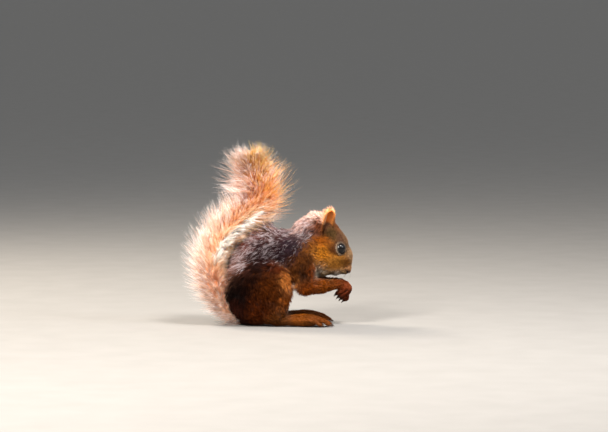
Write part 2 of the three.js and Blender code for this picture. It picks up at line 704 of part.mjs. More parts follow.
const hindLegs = [];
for (const [side, name] of [[RIGHT, 'right'], [LEFT, 'left']]) {
  const half = new THREE.Group();
  const eye = node(`eye_${name}`, new THREE.SphereGeometry(EYE_RADIUS, 12, 9), EYE_GLOSS);
  eye.position.copy(eyeOf(side).centre);
  const { upperArm, forearm } = makeForeleg(side);
  const { thigh, shank, round } = makeHindLeg(side);
  half.add(
    eye,
    node(`ear_${name}`, geometryOf(makeEar(side)), FACE_FUR),
    node(`upper_arm_${name}`, geometryOf(upperArm), LIMB_FUR),
    node(`forearm_${name}`, geometryOf(forearm), LIMB_FUR),
    node(`hand_${name}`, geometryOf(makeHand(side)), LIMB_FUR),
    node(`thigh_${name}`, geometryOf(thigh), BACK_FUR),
    node(`shank_${name}`, geometryOf(shank), LIMB_FUR),
    node(`foot_${name}`, geometryOf(makeFoot(side, round)), LIMB_FUR),
  );
  hindLegs.push(round);
  squirrel.add(half);
}

const tailParts = makeTail([roundTrunk, ...hindLegs]);
middle.add(
  node('tail_base', geometryOf(tailParts.base, FINEST_OF_LOCKS), TAIL_FUR),
  node('tail_middle', geometryOf(tailParts.middle, FINEST_OF_LOCKS), TAIL_FUR),
  node('tail_tip', geometryOf(tailParts.tip, FINEST_OF_LOCKS), TAIL_FUR),
);
squirrel.add(middle);

export default squirrel;
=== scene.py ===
"""A life-size red squirrel, sitting upright on its haunches: skin, coat, eyes, nose, claws and whiskers.

Arrays hold millimetres, with +X the way the animal faces, +Y its left side and +Z up. Finished meshes are in
metres. Patches, strokes and digits are given for the left side, and hold for both.
"""

import logging
import math
from dataclasses import dataclass, field
from enum import Enum

import bmesh
import bpy
import numpy as np
from mathutils import Matrix, Vector
from mathutils.bvhtree import BVHTree


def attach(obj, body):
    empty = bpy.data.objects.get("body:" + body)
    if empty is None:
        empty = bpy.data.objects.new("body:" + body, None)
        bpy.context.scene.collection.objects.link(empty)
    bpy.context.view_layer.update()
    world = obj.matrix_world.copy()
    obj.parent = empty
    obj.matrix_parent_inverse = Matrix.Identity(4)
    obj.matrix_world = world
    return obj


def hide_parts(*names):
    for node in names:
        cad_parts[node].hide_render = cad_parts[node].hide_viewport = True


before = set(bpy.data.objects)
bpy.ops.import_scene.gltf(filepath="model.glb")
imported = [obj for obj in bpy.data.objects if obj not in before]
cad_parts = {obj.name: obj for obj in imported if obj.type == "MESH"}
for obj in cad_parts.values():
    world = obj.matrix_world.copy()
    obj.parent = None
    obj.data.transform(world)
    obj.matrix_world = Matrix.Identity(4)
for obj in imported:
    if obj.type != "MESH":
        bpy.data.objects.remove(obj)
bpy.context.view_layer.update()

LOG = logging.getLogger("squirrel")
MM = 0.001
FLESH = [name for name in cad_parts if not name.startswith(("eye_", "ear_", "tail_"))]
DRAFT = 1  # a draft has this many times fewer tufts, each as much wider


class Side(Enum):
    """The two sides of the body, as the sign of Y."""

    RIGHT = -1
    LEFT = 1

    @property
    def label(self) -> str:
        """The side's name in a piece's name."""
        return self.name.lower()


def linear(code: str) -> np.ndarray:
    """Turns an sRGB hex colour to linear values.

    Args:
        code: The colour, such as "#a05a2c".

    Returns:
        Its red, green and blue from 0 to 1.
    """
    parts = np.array([int(code[i : i + 2], 16) / 255 for i in (1, 3, 5)])
    return np.where(parts <= 0.04045, parts / 12.92, ((parts + 0.055) / 1.055) ** 2.4)


def mixed(a: np.ndarray, b: np.ndarray, share: np.ndarray) -> np.ndarray:
    """Blends two rows of colours or vectors by a share for each row."""
    share = np.asarray(share)[..., None]
    return a * (1 - share) + b * share


def layered(base: np.ndarray, *layers: tuple[str, np.ndarray]) -> np.ndarray:
    """Lays colours over one another.

    Args:
        base: The lowest linear colours.
        layers: Hex colours, each with its share for each row.

    Returns:
        The linear colours.
    """
    for code, share in layers:
        base = mixed(base, linear(code), share)
    return base


def fold(points: np.ndarray) -> np.ndarray:
    """Moves each point to the left side of the middle plane."""
    return np.stack([points[:, 0], np.abs(points[:, 1]), points[:, 2]], axis=1)


def smoothstep(low: float, high: float, value: np.ndarray) -> np.ndarray:
    """Rises smoothly from 0 at low to 1 at high."""
    t = np.clip((value - low) / (high - low), 0, 1)
    return t * t * (3 - 2 * t)


def unit(vectors: np.ndarray) -> np.ndarray:
    """Gives each row a length of 1."""
    return vectors / np.maximum(np.linalg.norm(vectors, axis=-1, keepdims=True), 1e-9)


def flattened(vectors: np.ndarray, normals: np.ndarray) -> np.ndarray:
    """Takes from each vector its part along a unit normal."""
    return vectors - normals * np.sum(vectors * normals, axis=-1, keepdims=True)


def nearest(points: np.ndarray, line: np.ndarray) -> np.ndarray:
    """How far each point is from the nearest place of a line."""
    return np.linalg.norm(points[:, None] - line[None], axis=2).min(axis=1)


def ripple(points: np.ndarray, wave: float, seed: int) -> np.ndarray:
    """A smooth random vector field, for the small swirls of a coat.

    Args:
        points: Rows of places in mm.
        wave: The typical distance between two swirls in mm.
        seed: Which of the fields.

    Returns:
        One vector a row, of a length about 1.
    """
    rng = np.random.default_rng(seed)
    total = np.zeros_like(points)
    for _ in range(6):
        way = unit(rng.normal(size=3)) * 2 * math.pi / (wave * rng.uniform(0.7, 1.5))
        total += np.sin(points @ way + rng.uniform(0, 6.3))[:, None] * unit(rng.normal(size=3))
    return total / math.sqrt(3)


def curved(start: np.ndarray, bend: np.ndarray, tip: np.ndarray, shares: tuple[float, ...]) -> np.ndarray:
    """Places at shares of the way along smooth curves from start to tip, pulled to bend."""
    return np.stack([(1 - t) ** 2 * start + 2 * t * (1 - t) * bend + t * t * tip for t in shares], axis=-2)


# ---------------------------------------------------------------- finishes


def add_node(
    tree: bpy.types.NodeTree,
    kind: str,
    settings: dict[str, object] | None = None,
    links: dict[str, bpy.types.NodeSocket] | None = None,
) -> bpy.types.Node:
    """Adds a shader node.

    Args:
        tree: The material's node tree.
        kind: The node's type, such as "ShaderNodeTexNoise".
        settings: Values for its input sockets or its own properties, by name.
        links: What feeds its input sockets, by name.

    Returns:
        The new node.
    """
    node = tree.nodes.new(kind)
    for name, value in (settings or {}).items():
        if name in node.inputs:
            node.inputs[name].default_value = value
        else:
            setattr(node, name, value)
    for name, source in (links or {}).items():
        tree.links.new(source, node.inputs[name])
    return node


def rgba(code: str) -> tuple[float, float, float, float]:
    """An sRGB hex colour as a linear colour with full alpha."""
    return (*linear(code), 1.0)


def blank(name: str) -> tuple[bpy.types.Material, bpy.types.NodeTree]:
    """Makes a material with nothing in its node tree.

    Args:
        name: The material's name.

    Returns:
        The material and its node tree.
    """
    material = bpy.data.materials.new(name)
    material.use_nodes = True
    material.node_tree.nodes.clear()
    return material, material.node_tree


@dataclass(frozen=True)
class Hair:
    """Keratin hair, grown: a soft satin gleam along each strand. Long hair also glows in light from behind."""

    name: str = "short_keratin_hair"
    roughness: float = 0.6
    specular: float = 0.05
    glow: float = 0.0  # the share of the light that spreads inside a strand
    spread_mm: float = 1.2  # how far that light goes

    def material(self) -> bpy.types.Material:
        """The hair's material, which reads the colour of each strand.

        Returns:
            The material.
        """
        material, tree = blank(self.name)
        colour = add_node(tree, "ShaderNodeAttribute", {"attribute_name": "Fur"})
        shader = add_node(
            tree,
            "ShaderNodeBsdfPrincipled",
            {
                "Roughness": self.roughness,
                "IOR": 1.45,
                "Specular IOR Level": self.specular,
                "Subsurface Weight": self.glow,
                "Subsurface Radius": (1.0, 0.7, 0.5),
                "Subsurface Scale": self.spread_mm * MM,
            },
            {"Base Color": colour.outputs["Color"]},
        )
        add_node(tree, "ShaderNodeOutputMaterial", links={"Surface": shader.outputs[0]})
        return material


@dataclass(frozen=True)
class Hide:
    """Living skin: it wears the colour given for each place, the animal's own with painted light and shade
    among them, with fine short fur or moist leather as a bump.
    """

    name: str = "furred_skin"
    grain_mm: float = 0.7  # coarser than real under-hair, so that it still shows
    roughness: float = 0.75
    specular: float = 0.2

    def material(self) -> bpy.types.Material:
        """The skin's material, which reads the colour of each place.

        Returns:
            The material.
        """
        material, tree = blank(self.name)
        place = add_node(tree, "ShaderNodeTexCoord").outputs["Object"]
        colour = add_node(tree, "ShaderNodeAttribute", {"attribute_name": "Fur"})
        noise = add_node(
            tree,
            "ShaderNodeTexNoise",
            {"Scale": 1 / (self.grain_mm * MM), "Detail": 3.0},
            {"Vector": place},
        )
        shade = add_node(
            tree,
            "ShaderNodeMapRange",
            {"To Min": 0.72, "To Max": 1.18},
            {"Value": noise.outputs["Fac"]},
        )
        tint = add_node(
            tree,
            "ShaderNodeVectorMath",
            {"operation": "SCALE"},
            {"Vector": colour.outputs["Color"], "Scale": shade.outputs["Result"]},
        )
        bump = add_node(
            tree,
            "ShaderNodeBump",
            {"Strength": 0.6, "Distance": 0.4 * MM},
            {"Height": noise.outputs["Fac"]},
        )
        shader = add_node(
            tree,
            "ShaderNodeBsdfPrincipled",
            {"Roughness": self.roughness, "IOR": 1.4, "Specular IOR Level": self.specular},
            {"Base Color": tint.outputs["Vector"], "Normal": bump.outputs["Normal"]},
        )
        add_node(tree, "ShaderNodeOutputMaterial", links={"Surface": shader.outputs[0]})
        return material


@dataclass(frozen=True)
class Cornea:
    """A wet, nearly black eye: a mirror-smooth film of tears over a very dark brown iris."""

    iris: str = "#0c0706"
    depth: str = "#030303"
    grain: float = 260.0  # the scale of the noise in which the two mingle

    def material(self) -> bpy.types.Material:
        """The eye's material, in which the brown of the iris and the pupil's black mingle.

        Returns:
            The material.
        """
        material, tree = blank("wet_cornea")
        place = add_node(tree, "ShaderNodeTexCoord").outputs["Object"]
        settings = {"Scale": self.grain, "Detail": 2.0}
        noise = add_node(tree, "ShaderNodeTexNoise", settings, {"Vector": place})
        mix = add_node(tree, "ShaderNodeMix", {"data_type": "RGBA"}, {"Factor": noise.outputs["Fac"]})
        mix.inputs[6].default_value = rgba(self.depth)
        mix.inputs[7].default_value = rgba(self.iris)
        shader = add_node(
            tree,
            "ShaderNodeBsdfPrincipled",
            {"Roughness": 0.04, "IOR": 1.38, "Specular IOR Level": 0.5},
            {"Base Color": mix.outputs[2]},
        )
        add_node(tree, "ShaderNodeOutputMaterial", links={"Surface": shader.outputs[0]})
        return material


@dataclass(frozen=True)
class Mottled:
    """A plain natural surface whose two shades mingle, such as horn, a lid's bare edge or plaster."""

    name: str
    light: str
    dark: str
    grain_mm: float
    roughness: float
    bump: float = 0.3

    def material(self) -> bpy.types.Material:
        """The material.

        Returns:
            The material, with its grain as colour and bump.
        """
        material, tree = blank(self.name)
        place = add_node(tree, "ShaderNodeTexCoord").outputs["Object"]
        noise = add_node(
            tree,
            "ShaderNodeTexNoise",
            {"Scale": 1 / (self.grain_mm * MM), "Detail": 4.0},
            {"Vector": place},
        )
        ramp = add_node(tree, "ShaderNodeValToRGB", links={"Fac": noise.outputs["Fac"]})
        for stop, position, code in zip(ramp.color_ramp.elements, (0.3, 0.7), (self.dark, self.light)):
            stop.position = position
            stop.color = rgba(code)
        bump = add_node(
            tree,
            "ShaderNodeBump",
            {"Strength": self.bump, "Distance": 0.2 * MM},
            {"Height": noise.outputs["Fac"]},
        )
        shader = add_node(
            tree,
            "ShaderNodeBsdfPrincipled",
            {"Roughness": self.roughness, "IOR": 1.5},
            {"Base Color": ramp.outputs["Color"], "Normal": bump.outputs["Normal"]},
        )
        add_node(tree, "ShaderNodeOutputMaterial", links={"Surface": shader.outputs[0]})
        return material


SHORT_HAIR = Hair()
LONG_HAIR = Hair("long_keratin_hair", glow=0.6)
HORN = Mottled("claw_horn", light="#4a3527", dark="#150d09", grain_mm=1.2, roughness=0.35)
NOSE_LEATHER = Hide("nose_leather", grain_mm=0.45, roughness=0.38, specular=0.5)
LID_EDGE = Mottled("lid_edge", light="#20140f", dark="#0c0705", grain_mm=0.5, roughness=0.55)
PLASTER = Mottled("pale_floor", light="#7f7e7c", dark="#7b7a78", grain_mm=40.0, roughness=0.9, bump=0.0)


# ---------------------------------------------------------------- markings and coat


@dataclass(frozen=True)
class Patch:
    """How the coat is on one part of the body. Between two patches it changes smoothly.

    at is (x, distance from the middle plane, z), reach how far the patch goes and length how long its hair
    is, in mm. lift is the angle in degrees at which the hair leaves the skin, and pale the share of
    pale-tipped hairs.
    """

    name: str
    at: tuple[float, float, float]
    reach: float
    length: float
    lift: float
    colour: str
    pale: float = 0.0


PATCHES = [
    Patch("nose bridge", (88, 0, 66), 6, 1.5, 14, "#9c7a58"),
    Patch("muzzle", (84, 7, 59), 4, 1.5, 14, "#643a0c"),
    Patch("nose side", (86, 5, 53), 3, 1.3, 14, "#a87850"),
    Patch("lips", (81, 4, 48), 3.5, 1.4, 14, "#94764c"),
    Patch("chin", (77, 2, 45.5), 4, 2.4, 24, "#f4f0e6"),
    Patch("throat", (66, 4, 46), 6, 5, 22, "#9a7020", 0.2),
    Patch("forehead", (84, 3, 82), 7, 2.4, 18, "#785a40"),
    Patch("brow", (80, 9, 83), 4, 2.2, 18, "#5c3e2c"),
    Patch("crown", (75, 4, 97), 8, 3.2, 22, "#7e4e2e"),
    Patch("temple", (70, 13, 87), 5, 2.8, 18, "#4c371c"),
    # Painted shade: the dark patch behind and below the eye.
    Patch("eye corner", (71, 14, 71), 4, 2.6, 18, "#643818"),
    Patch("cheek", (75, 13, 59), 7, 2.8, 18, "#a8702c"),
    Patch("jaw", (63, 17, 66), 7, 4.5, 24, "#be781e"),
    Patch("below the ear", (62, 17, 80), 5, 4.5, 24, "#a85c18"),
    # Painted shade: the ear's shadow behind it, in a darker brown.
    Patch("behind the ear", (58, 14, 96), 5, 5, 28, "#8c4c2c"),
    # Painted light: the pale peach nape stands in for sunlight along the outline.
    Patch("nape", (52, 5, 107), 9, 5.5, 22, "#f6cebe", 0.42),
    Patch("scruff", (61, 5, 110), 5.5, 9.5, 62, "#d89474", 0.25),
    # Painted light: the pale pink top of the neck stands in for sunlight along the outline.
    Patch("neck top", (40, 6, 100), 8, 6.5, 22, "#f8ccc0", 0.5),
    Patch("neck side", (44, 18, 90), 6, 7, 32, "#74565a", 0.5),
    Patch("neck slope", (47, 13, 98), 6, 6.5, 24, "#c8a09a", 0.5),
    Patch("neck whorl", (48.5, 18, 87.5), 4.2, 7, 42, "#2c1a20", 0.62),
    Patch("neck band", (33, 19, 82), 8, 7, 26, "#42323c", 0.25),
    Patch("neck front", (52, 20, 76), 6, 6, 26, "#a86424"),
    Patch("withers", (27, 6, 92), 7, 9, 34, "#6c4c50", 0.5),
    Patch("saddle", (14, 12, 94), 10, 10, 32, "#643a32", 0.5),
    Patch("back", (-6, 14, 88), 11, 10.5, 36, "#8a4c42", 0.55),
    Patch("rump", (-22, 14, 66), 12, 10.5, 36, "#804e40", 0.65),
    Patch("rump low", (-31, 10, 46), 9, 8, 30, "#d89c7c", 0.35),
    Patch("flank", (4, 24, 76), 11, 9.5, 30, "#3e2a2e", 0.5),
    Patch("flank front", (26, 23, 72), 8, 8, 26, "#36262e", 0.25),
    Patch("ribs", (38, 14, 50), 8, 7, 26, "#6c380c"),
    Patch("belly", (28, 0, 28), 12, 8, 26, "#f8f0e2"),
    Patch("chest", (56, 0, 50), 9, 8, 28, "#f4e8d4"),
    # Painted shade: the near-black hip, haunch dark and haunch back stand in for the shadow on the haunch.
    Patch("hip", (2, 31, 62), 10, 8, 20, "#220f0a", 0.04),
    Patch("haunch dark", (-22, 29, 33), 13, 7, 18, "#120503"),
    Patch("haunch back", (-8, 34, 46), 8, 7, 18, "#240d04"),
    Patch("haunch", (9, 35, 38), 12, 7, 18, "#5c2a04"),
    Patch("haunch top", (18, 30, 58), 6, 6.5, 20, "#682a0c"),
    # Painted light: the bright orange front edge of the haunch stands in for sunlight on it.
    Patch("haunch front", (29, 27, 46), 6.5, 6, 20, "#fc9c48"),
    Patch("knee", (28, 29, 26), 7, 5, 20, "#b46020"),
    Patch("haunch low", (0, 34, 18), 12, 6, 18, "#5c2604"),
    Patch("seat", (-24, 22, 20), 8, 7, 24, "#3e1a10"),
    Patch("shank", (14, 32, 6), 8, 4, 18, "#6c3810"),
    Patch("shoulder", (42, 24, 66), 7, 5.5, 24, "#6c3c18"),
    Patch("upper arm", (43, 26, 52), 7, 5, 22, "#40200a"),
    Patch("arm front", (54, 24, 54), 5, 4.5, 22, "#cc5c04"),
    Patch("elbow", (46, 26, 36), 7, 4, 22, "#863e04"),
    Patch("forearm", (62, 18, 38), 7, 3, 18, "#884202"),
    Patch("wrist", (75, 11, 42), 5, 2, 16, "#823c06"),
    Patch("hand", (83, 8, 33), 6, 1.2, 14, "#82340e"),
    Patch("hand back", (83, 8.5, 39.5), 5, 1.5, 14, "#8a3c12"),
    # Painted highlight: the light orange knuckles.
    Patch("knuckles", (86.5, 7, 38.5), 4, 1.3, 14, "#c2683a"),
    Patch("palm", (81, 3, 38), 4.5, 1.2, 14, "#7c3410"),
    Patch("fingers", (77, 6, 27), 4, 0.9, 12, "#3c1c0a"),
    Patch("heel", (18, 24, 8), 8, 2.4, 18, "#6c3c14"),
    Patch("instep", (40, 24, 12), 8, 2.2, 18, "#904c0a"),
    Patch("toes", (62, 26, 8), 7, 1.6, 18, "#8c4a14"),
]

# The coat's lie: each stroke is a line over the body along which its hair points, (x, y, z) on the left side.
STROKES = [
    [(90, 0, 60), (86, 0, 84), (76, 0, 99), (62, 0, 108), (40, 0, 104), (20, 0, 99), (2, 0, 97), (-16, 0, 84),
     (-29, 0, 60), (-32, 0, 36), (-26, 0, 8)],
    [(89, 4, 50), (84, 10, 58), (76, 15, 64), (66, 18, 72), (54, 20, 80), (46, 21, 84)],
    [(86, 6, 64), (80, 12, 84), (70, 14, 96), (58, 15, 96), (48, 18, 88), (40, 22, 78), (42, 24, 66)],
    [(84, 2, 46), (76, 3, 45), (68, 5, 44), (60, 4, 42), (52, 4, 36), (44, 4, 28), (34, 2, 16), (20, 0, 4)],
    [(80, 8, 50), (72, 14, 54), (62, 16, 54), (54, 16, 48), (48, 12, 42)],
    [(46, 12, 98), (34, 18, 92), (18, 22, 84), (2, 24, 74), (-12, 24, 62), (-24, 20, 46), (-30, 16, 24)],
    [(44, 20, 84), (34, 23, 72), (24, 24, 66), (10, 27, 62), (-4, 30, 58), (-16, 30, 48), (-26, 25, 32)],
    [(42, 23, 72), (44, 25, 60), (45, 26, 48), (46, 27, 36), (52, 24, 32)],
    [(46, 25, 38), (56, 21, 39), (66, 15, 40), (78, 10, 42), (85, 8, 38), (86, 6, 30), (80, 6, 26)],
    [(-8, 32, 58), (0, 34, 50), (10, 35, 40), (16, 34, 28), (18, 33, 14), (22, 30, 6)],
    [(14, 31, 60), (24, 30, 52), (30, 27, 40), (30, 26, 28), (28, 26, 16), (34, 25, 12)],
    [(-18, 30, 48), (-16, 33, 34), (-10, 34, 20), (0, 33, 8)],
    [(16, 24, 12), (30, 23, 12), (44, 23, 13), (56, 24, 12), (66, 26, 8), (72, 26, 4)],
]

# Each digit is a line from its knuckle to its tip: four fingers, then five toes.
DIGITS = [
    [(81.5, 9.6, 34.5), (77.6, 9.4, 31.3), (74.6, 7.4, 29.8)],
    [(83.6, 8.4, 32), (79.6, 8, 28), (76.8, 6, 27.2)],
    [(85.4, 6.9, 29.8), (81.8, 6.2, 25.9), (79.2, 4.4, 25.2)],
    [(86.6, 5.4, 28.2), (84.2, 4.4, 24.4), (81.8, 3.2, 23.6)],
    [(45, 16.0, 7), (51, 14.8, 6.4), (59, 12.6, 3)],
    [(48, 19.0, 8), (56, 18.3, 8.8), (66, 17.2, 3)],
    [(48, 22.2, 8), (57.5, 22.2, 9.4), (69, 22.3, 3)],
    [(48, 25.4, 8), (56.5, 26.1, 9), (67.5, 27.4, 3)],
    [(45, 28.4, 7), (51, 29.6, 6.6), (60, 31.9, 3)],
]
FINGERS = DIGITS[:4]


def resampled(points: np.ndarray, spacing: float) -> tuple[np.ndarray, np.ndarray]:
    """Places evenly spaced along a line of points, with the line's directions there.

    Args:
        points: The line's corners.
        spacing: The distance between two places.

    Returns:
        The places, and a unit direction at each.
    """
    steps = np.diff(points, axis=0)
    far = np.concatenate([[0], np.cumsum(np.linalg.norm(steps, axis=1))])
    at = np.linspace(0, far[-1], max(3, int(far[-1] / spacing)))
    places = np.stack([np.interp(at, far, points[:, k]) for k in range(3)], axis=1)
    return places, unit(np.gradient(places, axis=0))


class Pelage:
    """The coat's length, lie and colours at any place on the body, with painted light and shade among the
    colours.
    """

    SHADE = 0.8  # a coat swallows some of the light that a flat swatch of its colour gives back
    FADE = 3.6  # how sharply one patch gives way to the next
    BLOTCH = 0.14  # how much the colour varies within a patch
    CHUNK = 20000  # points that are compared with the strokes at once
    EYE = np.array([77.66, 9.86, 73.31])
    LID_NARROWS = np.array([0.72, -0.55, 0.33])  # the way in which the ring round the eye is narrow
    NOSE = np.array([87.9, 0.0, 50.2])
    NOSTRIL = np.array([85.2, 0.0, 50.2])
    MOUTH = np.array([[78.2, 0, 51.5], [79.6, 0, 49.9], [85.6, 0, 45.5]])

    def __init__(self) -> None:
        """Reads the patches, strokes and digits into arrays."""
        self.at = np.array([p.at for p in PATCHES], float)
        self.reach = np.array([p.reach for p in PATCHES])
        self.numbers = np.array([(p.length, p.lift, p.pale) for p in PATCHES])
        self.colours = np.array([linear(p.colour) for p in PATCHES]) * self.SHADE
        self.digits = [resampled(np.array(d, float), 0.7)[0] for d in DIGITS]
        lines = [resampled(np.array(s, float), 4.0) for s in STROKES]
        places = np.concatenate([line[0] for line in lines])
        ways = np.concatenate([line[1] for line in lines])
        mirror = np.array([1, -1, 1])
        self.stroke_places = np.concatenate([places, places * mirror])
        self.stroke_ways = np.concatenate([ways, ways * mirror])

    def shares(self, points: np.ndarray) -> np.ndarray:
        """How much each patch counts at each point.

        Args:
            points: Places on the body.

        Returns:
            A row for each point that adds up to 1.
        """
        near = np.linalg.norm(fold(points)[:, None] - self.at[None], axis=2) / self.reach
        weight = (1 + near**2) ** -self.FADE
        return weight / weight.sum(axis=1, keepdims=True)

    def hair(self, points: np.ndarray) -> tuple[np.ndarray, np.ndarray, np.ndarray]:
        """The hair's length in mm, lift in radians and share of pale tips at each point."""
        length, lift, pale = (self.shares(points) @ self.numbers).T
        return length, np.radians(lift), pale

    def lie(self, points: np.ndarray, normals: np.ndarray) -> np.ndarray:
        """The direction along the skin in which the hair points.

        Args:
            points: Places on the skin.
            normals: The skin's outward directions there.

        Returns:
            Unit directions in the skin's surface.
        """
        ways = np.zeros_like(points)
        for i in range(0, len(points), self.CHUNK):
            rows = slice(i, i + self.CHUNK)
            near = np.linalg.norm(points[rows, None] - self.stroke_places[None], axis=2)
            ways[rows] = (near**2 + 9) ** -2.5 @ self.stroke_ways
        off = points - np.where(points[:, 1:2] < 0, -1, 1) ** np.array([0, 1, 0]) * self.EYE
        round_eye = smoothstep(9.5, 6.5, np.linalg.norm(off, axis=1))[:, None]
        return unit(flattened(unit(ways) + 1.6 * round_eye * unit(off), normals))

    def colour(self, points: np.ndarray, stray: np.ndarray | float = 0.0) -> np.ndarray:
        """The coat's colour, with the eye's pale ring, partly a painted highlight, and painted shade along the
        mouth line, in the creases and in the nostrils.

        Args:
            points: Places on the skin.
            stray: How far from each place its colour is picked, which frays the borders between patches.

        Returns:
            Linear colours.
        """
        base = self.shares(points + stray) @ self.colours
        base = base * (1 + self.BLOTCH * ripple(points, 9, 5)[:, :1])
        off = fold(points) - self.EYE
        ring = np.sqrt(np.sum(off * off, axis=1) + 0.35 * (off @ self.LID_NARROWS) ** 2)
        # The pale ring is partly its own colour and partly a painted highlight, brightest towards its back and
        # bottom.
        bright = 0.2 + 0.5 * smoothstep(2, -5, off[:, 0] * 0.6 + off[:, 2] * 0.5)
        mouth, _ = resampled(self.MOUTH, 0.8)
        from_mouth = nearest(fold(points) * np.array([1, 0, 1]), mouth)
        return layered(
            base,
            ("#4c3428", 0.6 * smoothstep(8.0, 6.8, ring)),
            ("#dcc8ac", bright * smoothstep(6.75, 6.3, ring)),
            ("#1c100a", smoothstep(6.15, 5.8, ring)),
            # Painted shade: a dark line along the mouth, dark creases between the digits and dark nostrils.
            ("#3a2616", 0.6 * smoothstep(1.2, 0.5, from_mouth)),
            ("#1c0a04", 0.8 * self.crease(points)),
            ("#0e0604", smoothstep(1.25, 0.8, self.from_nostril(points))),
        )

    def crease(self, points: np.ndarray) -> np.ndarray:
        """How deep each point lies in the fold between two digits.

        Args:
            points: Places on the skin.

        Returns:
            0 away from the folds, up to 1 in the middle of one.
        """
        folded = fold(points)
        x, z = folded[:, 0], folded[:, 2]
        deep = np.zeros(len(points))
        rows = np.nonzero((x > 44) & (z < 36) & ((z < 14) | (x > 70)))[0]  # the hands and feet
        if len(rows):
            near = np.stack([nearest(folded[rows], line) for line in self.digits], axis=1)
            near.sort(axis=1)
            deep[rows] = smoothstep(1.0, 0.2, near[:, 1] - near[:, 0]) * smoothstep(5, 3.5, near[:, 0])
        return deep

    def from_eye(self, points: np.ndarray) -> np.ndarray:
        """How far each point is from the middle of its side's eye."""
        return np.linalg.norm(fold(points) - self.EYE, axis=1)

    def from_nostril(self, points: np.ndarray) -> np.ndarray:
        """How far each point is from the slanting slit of its side's nostril.

        Args:
            points: Places on the skin.

        Returns:
            0 in the slit, 1 at its border and more beyond it.
        """
        off = points - self.NOSTRIL
        along = off[:, 0] * 0.87 - off[:, 2] * 0.5
        across = off[:, 0] * 0.5 + off[:, 2] * 0.87
        between = np.abs(points[:, 1]) < 0.9
        return np.hypot(along / 1.9, (across - 0.16 * along**2) / 1.15) + 9 * between


# ---------------------------------------------------------------- the tail's own shape


class Tail:
    """The tail's axis, its core, and how far its hair reaches."""

    AXIS = [(-13, 7.5), (-26, 12), (-37, 28), (-42, 48), (-38, 70), (-26, 90), (-14, 104), (-4, 117),
            (0, 130), (-3, 141), (-6, 150), (-7, 157)]
    BEHIND = [13, 17, 23, 30, 34, 35, 33, 30, 28, 30, 33, 28]
    BESIDE = [13, 20, 24, 27, 29, 29, 29, 30, 30, 29, 27, 24]
    BEFORE = [8, 11, 13, 16, 17, 17, 20, 28, 34, 33, 29, 23]
    CORE = 0.36  # of the hair's reach is the tail's own body with its dense under-hair
    CAP = 17.0  # how far the hair reaches past the axis
    UNDERCOAT = "#f09858"

    def __init__(self) -> None:
        """Lays a smooth curve through the axis."""
        knots = np.array(self.AXIS, float)
        padded = np.vstack([2 * knots[0] - knots[1], knots, 2 * knots[-1] - knots[-2]])
        places = []
        for i in range(1, len(padded) - 2):
            a, b, c, d = padded[i - 1 : i + 3]
            square, cube = 2 * a - 5 * b + 4 * c - d, 3 * b - a - 3 * c + d
            for t in np.linspace(0, 1, 16, endpoint=False):
                places.append(0.5 * (2 * b + (c - a) * t + square * t**2 + cube * t**3))
        self.line = np.vstack([places, knots[-1:]])
        far = np.concatenate([[0], np.cumsum(np.linalg.norm(np.diff(self.line, axis=0), axis=1))])
        self.length = far[-1]
        self.far = far / far[-1]
        self.ways = unit(np.gradient(self.line, self.far, axis=0))

    def reach(self, share: np.ndarray, angle: np.ndarray) -> np.ndarray:
        """How far the hair reaches from the axis.

        Args:
            share: How far along the tail, from 0 to 1, and above 1 past its end.
            angle: The angle round it in radians: 0 is its left side, pi / 2 towards the back of the body.

        Returns:
            The reach in mm.
        """
        on = np.clip(share, 0, 1)
        spots = np.linspace(0, 1, len(self.BESIDE))
        beside = np.interp(on, spots, self.BESIDE)
        onward = np.where(
            np.sin(angle) > 0, np.interp(on, spots, self.BEFORE), np.interp(on, spots, self.BEHIND)
        )
        reach = 1 / np.hypot(np.cos(angle) / beside, np.sin(angle) / onward)
        past = (share - on) * self.length / self.CAP
        return reach * np.sqrt(np.clip(1 - past**2, 0, 1))

    def place(self, share: np.ndarray, angle: np.ndarray, distance: np.ndarray) -> np.ndarray:
        """Finds places round the tail's axis.

        Args:
            share: How far along the tail each is.
            angle: The angle round it.
            distance: How far from the axis, in mm.

        Returns:
            The places.
        """
        on = np.clip(share, 0, 1)
        x, z = (np.interp(on, self.far, self.line[:, k]) for k in (0, 1))
        tx, tz = (np.interp(on, self.far, self.ways[:, k]) for k in (0, 1))
        past = (share - on) * self.length
        side = distance * np.cos(angle)
        up = distance * np.sin(angle)
        return np.stack([x + tx * past + tz * up, side, z + tz * past - tx * up], axis=-1)

    def core(self) -> bmesh.types.BMesh:
        """Shapes the tail's body, which the hair grows from.

        Returns:
            The closed shape, in metres.
        """
        shape = bmesh.new()
        bmesh.ops.create_uvsphere(shape, u_segments=28, v_segments=60, radius=1)
        for vertex in shape.verts:
            x, y, z = vertex.co
            share = 0.5 - math.asin(max(-1, min(1, z))) / math.pi
            angle = math.atan2(y, x)
            full = min(1.0, math.hypot(x, y) * 4.0)
            far = float(self.reach(np.array(share), np.array(angle))) * self.CORE * full
            vertex.co = Vector(self.place(np.array(share), np.array(angle), np.array(far))) * MM
        bmesh.ops.recalc_face_normals(shape, faces=shape.faces)
        return shape


# ---------------------------------------------------------------- meshes


def mesh_arrays(mesh: bpy.types.Mesh) -> tuple[np.ndarray, np.ndarray, np.ndarray]:
    """Reads a mesh.

    Args:
        mesh: The mesh, in metres.

    Returns:
        Its vertices in mm, its triangles, and its vertices' outward directions.
    """
    mesh.calc_loop_triangles()
    places = np.empty(len(mesh.vertices) * 3, np.float32)
    mesh.vertices.foreach_get("co", places)
    corners = np.empty(len(mesh.loop_triangles) * 3, np.int32)
    mesh.loop_triangles.foreach_get("vertices", corners)
    ways = np.empty(len(mesh.vertices) * 3, np.float32)
    mesh.vertex_normals.foreach_get("vector", ways)
    places, ways = (row.reshape(-1, 3).astype(float) for row in (places, ways))
    return places / MM, corners.reshape(-1, 3), ways


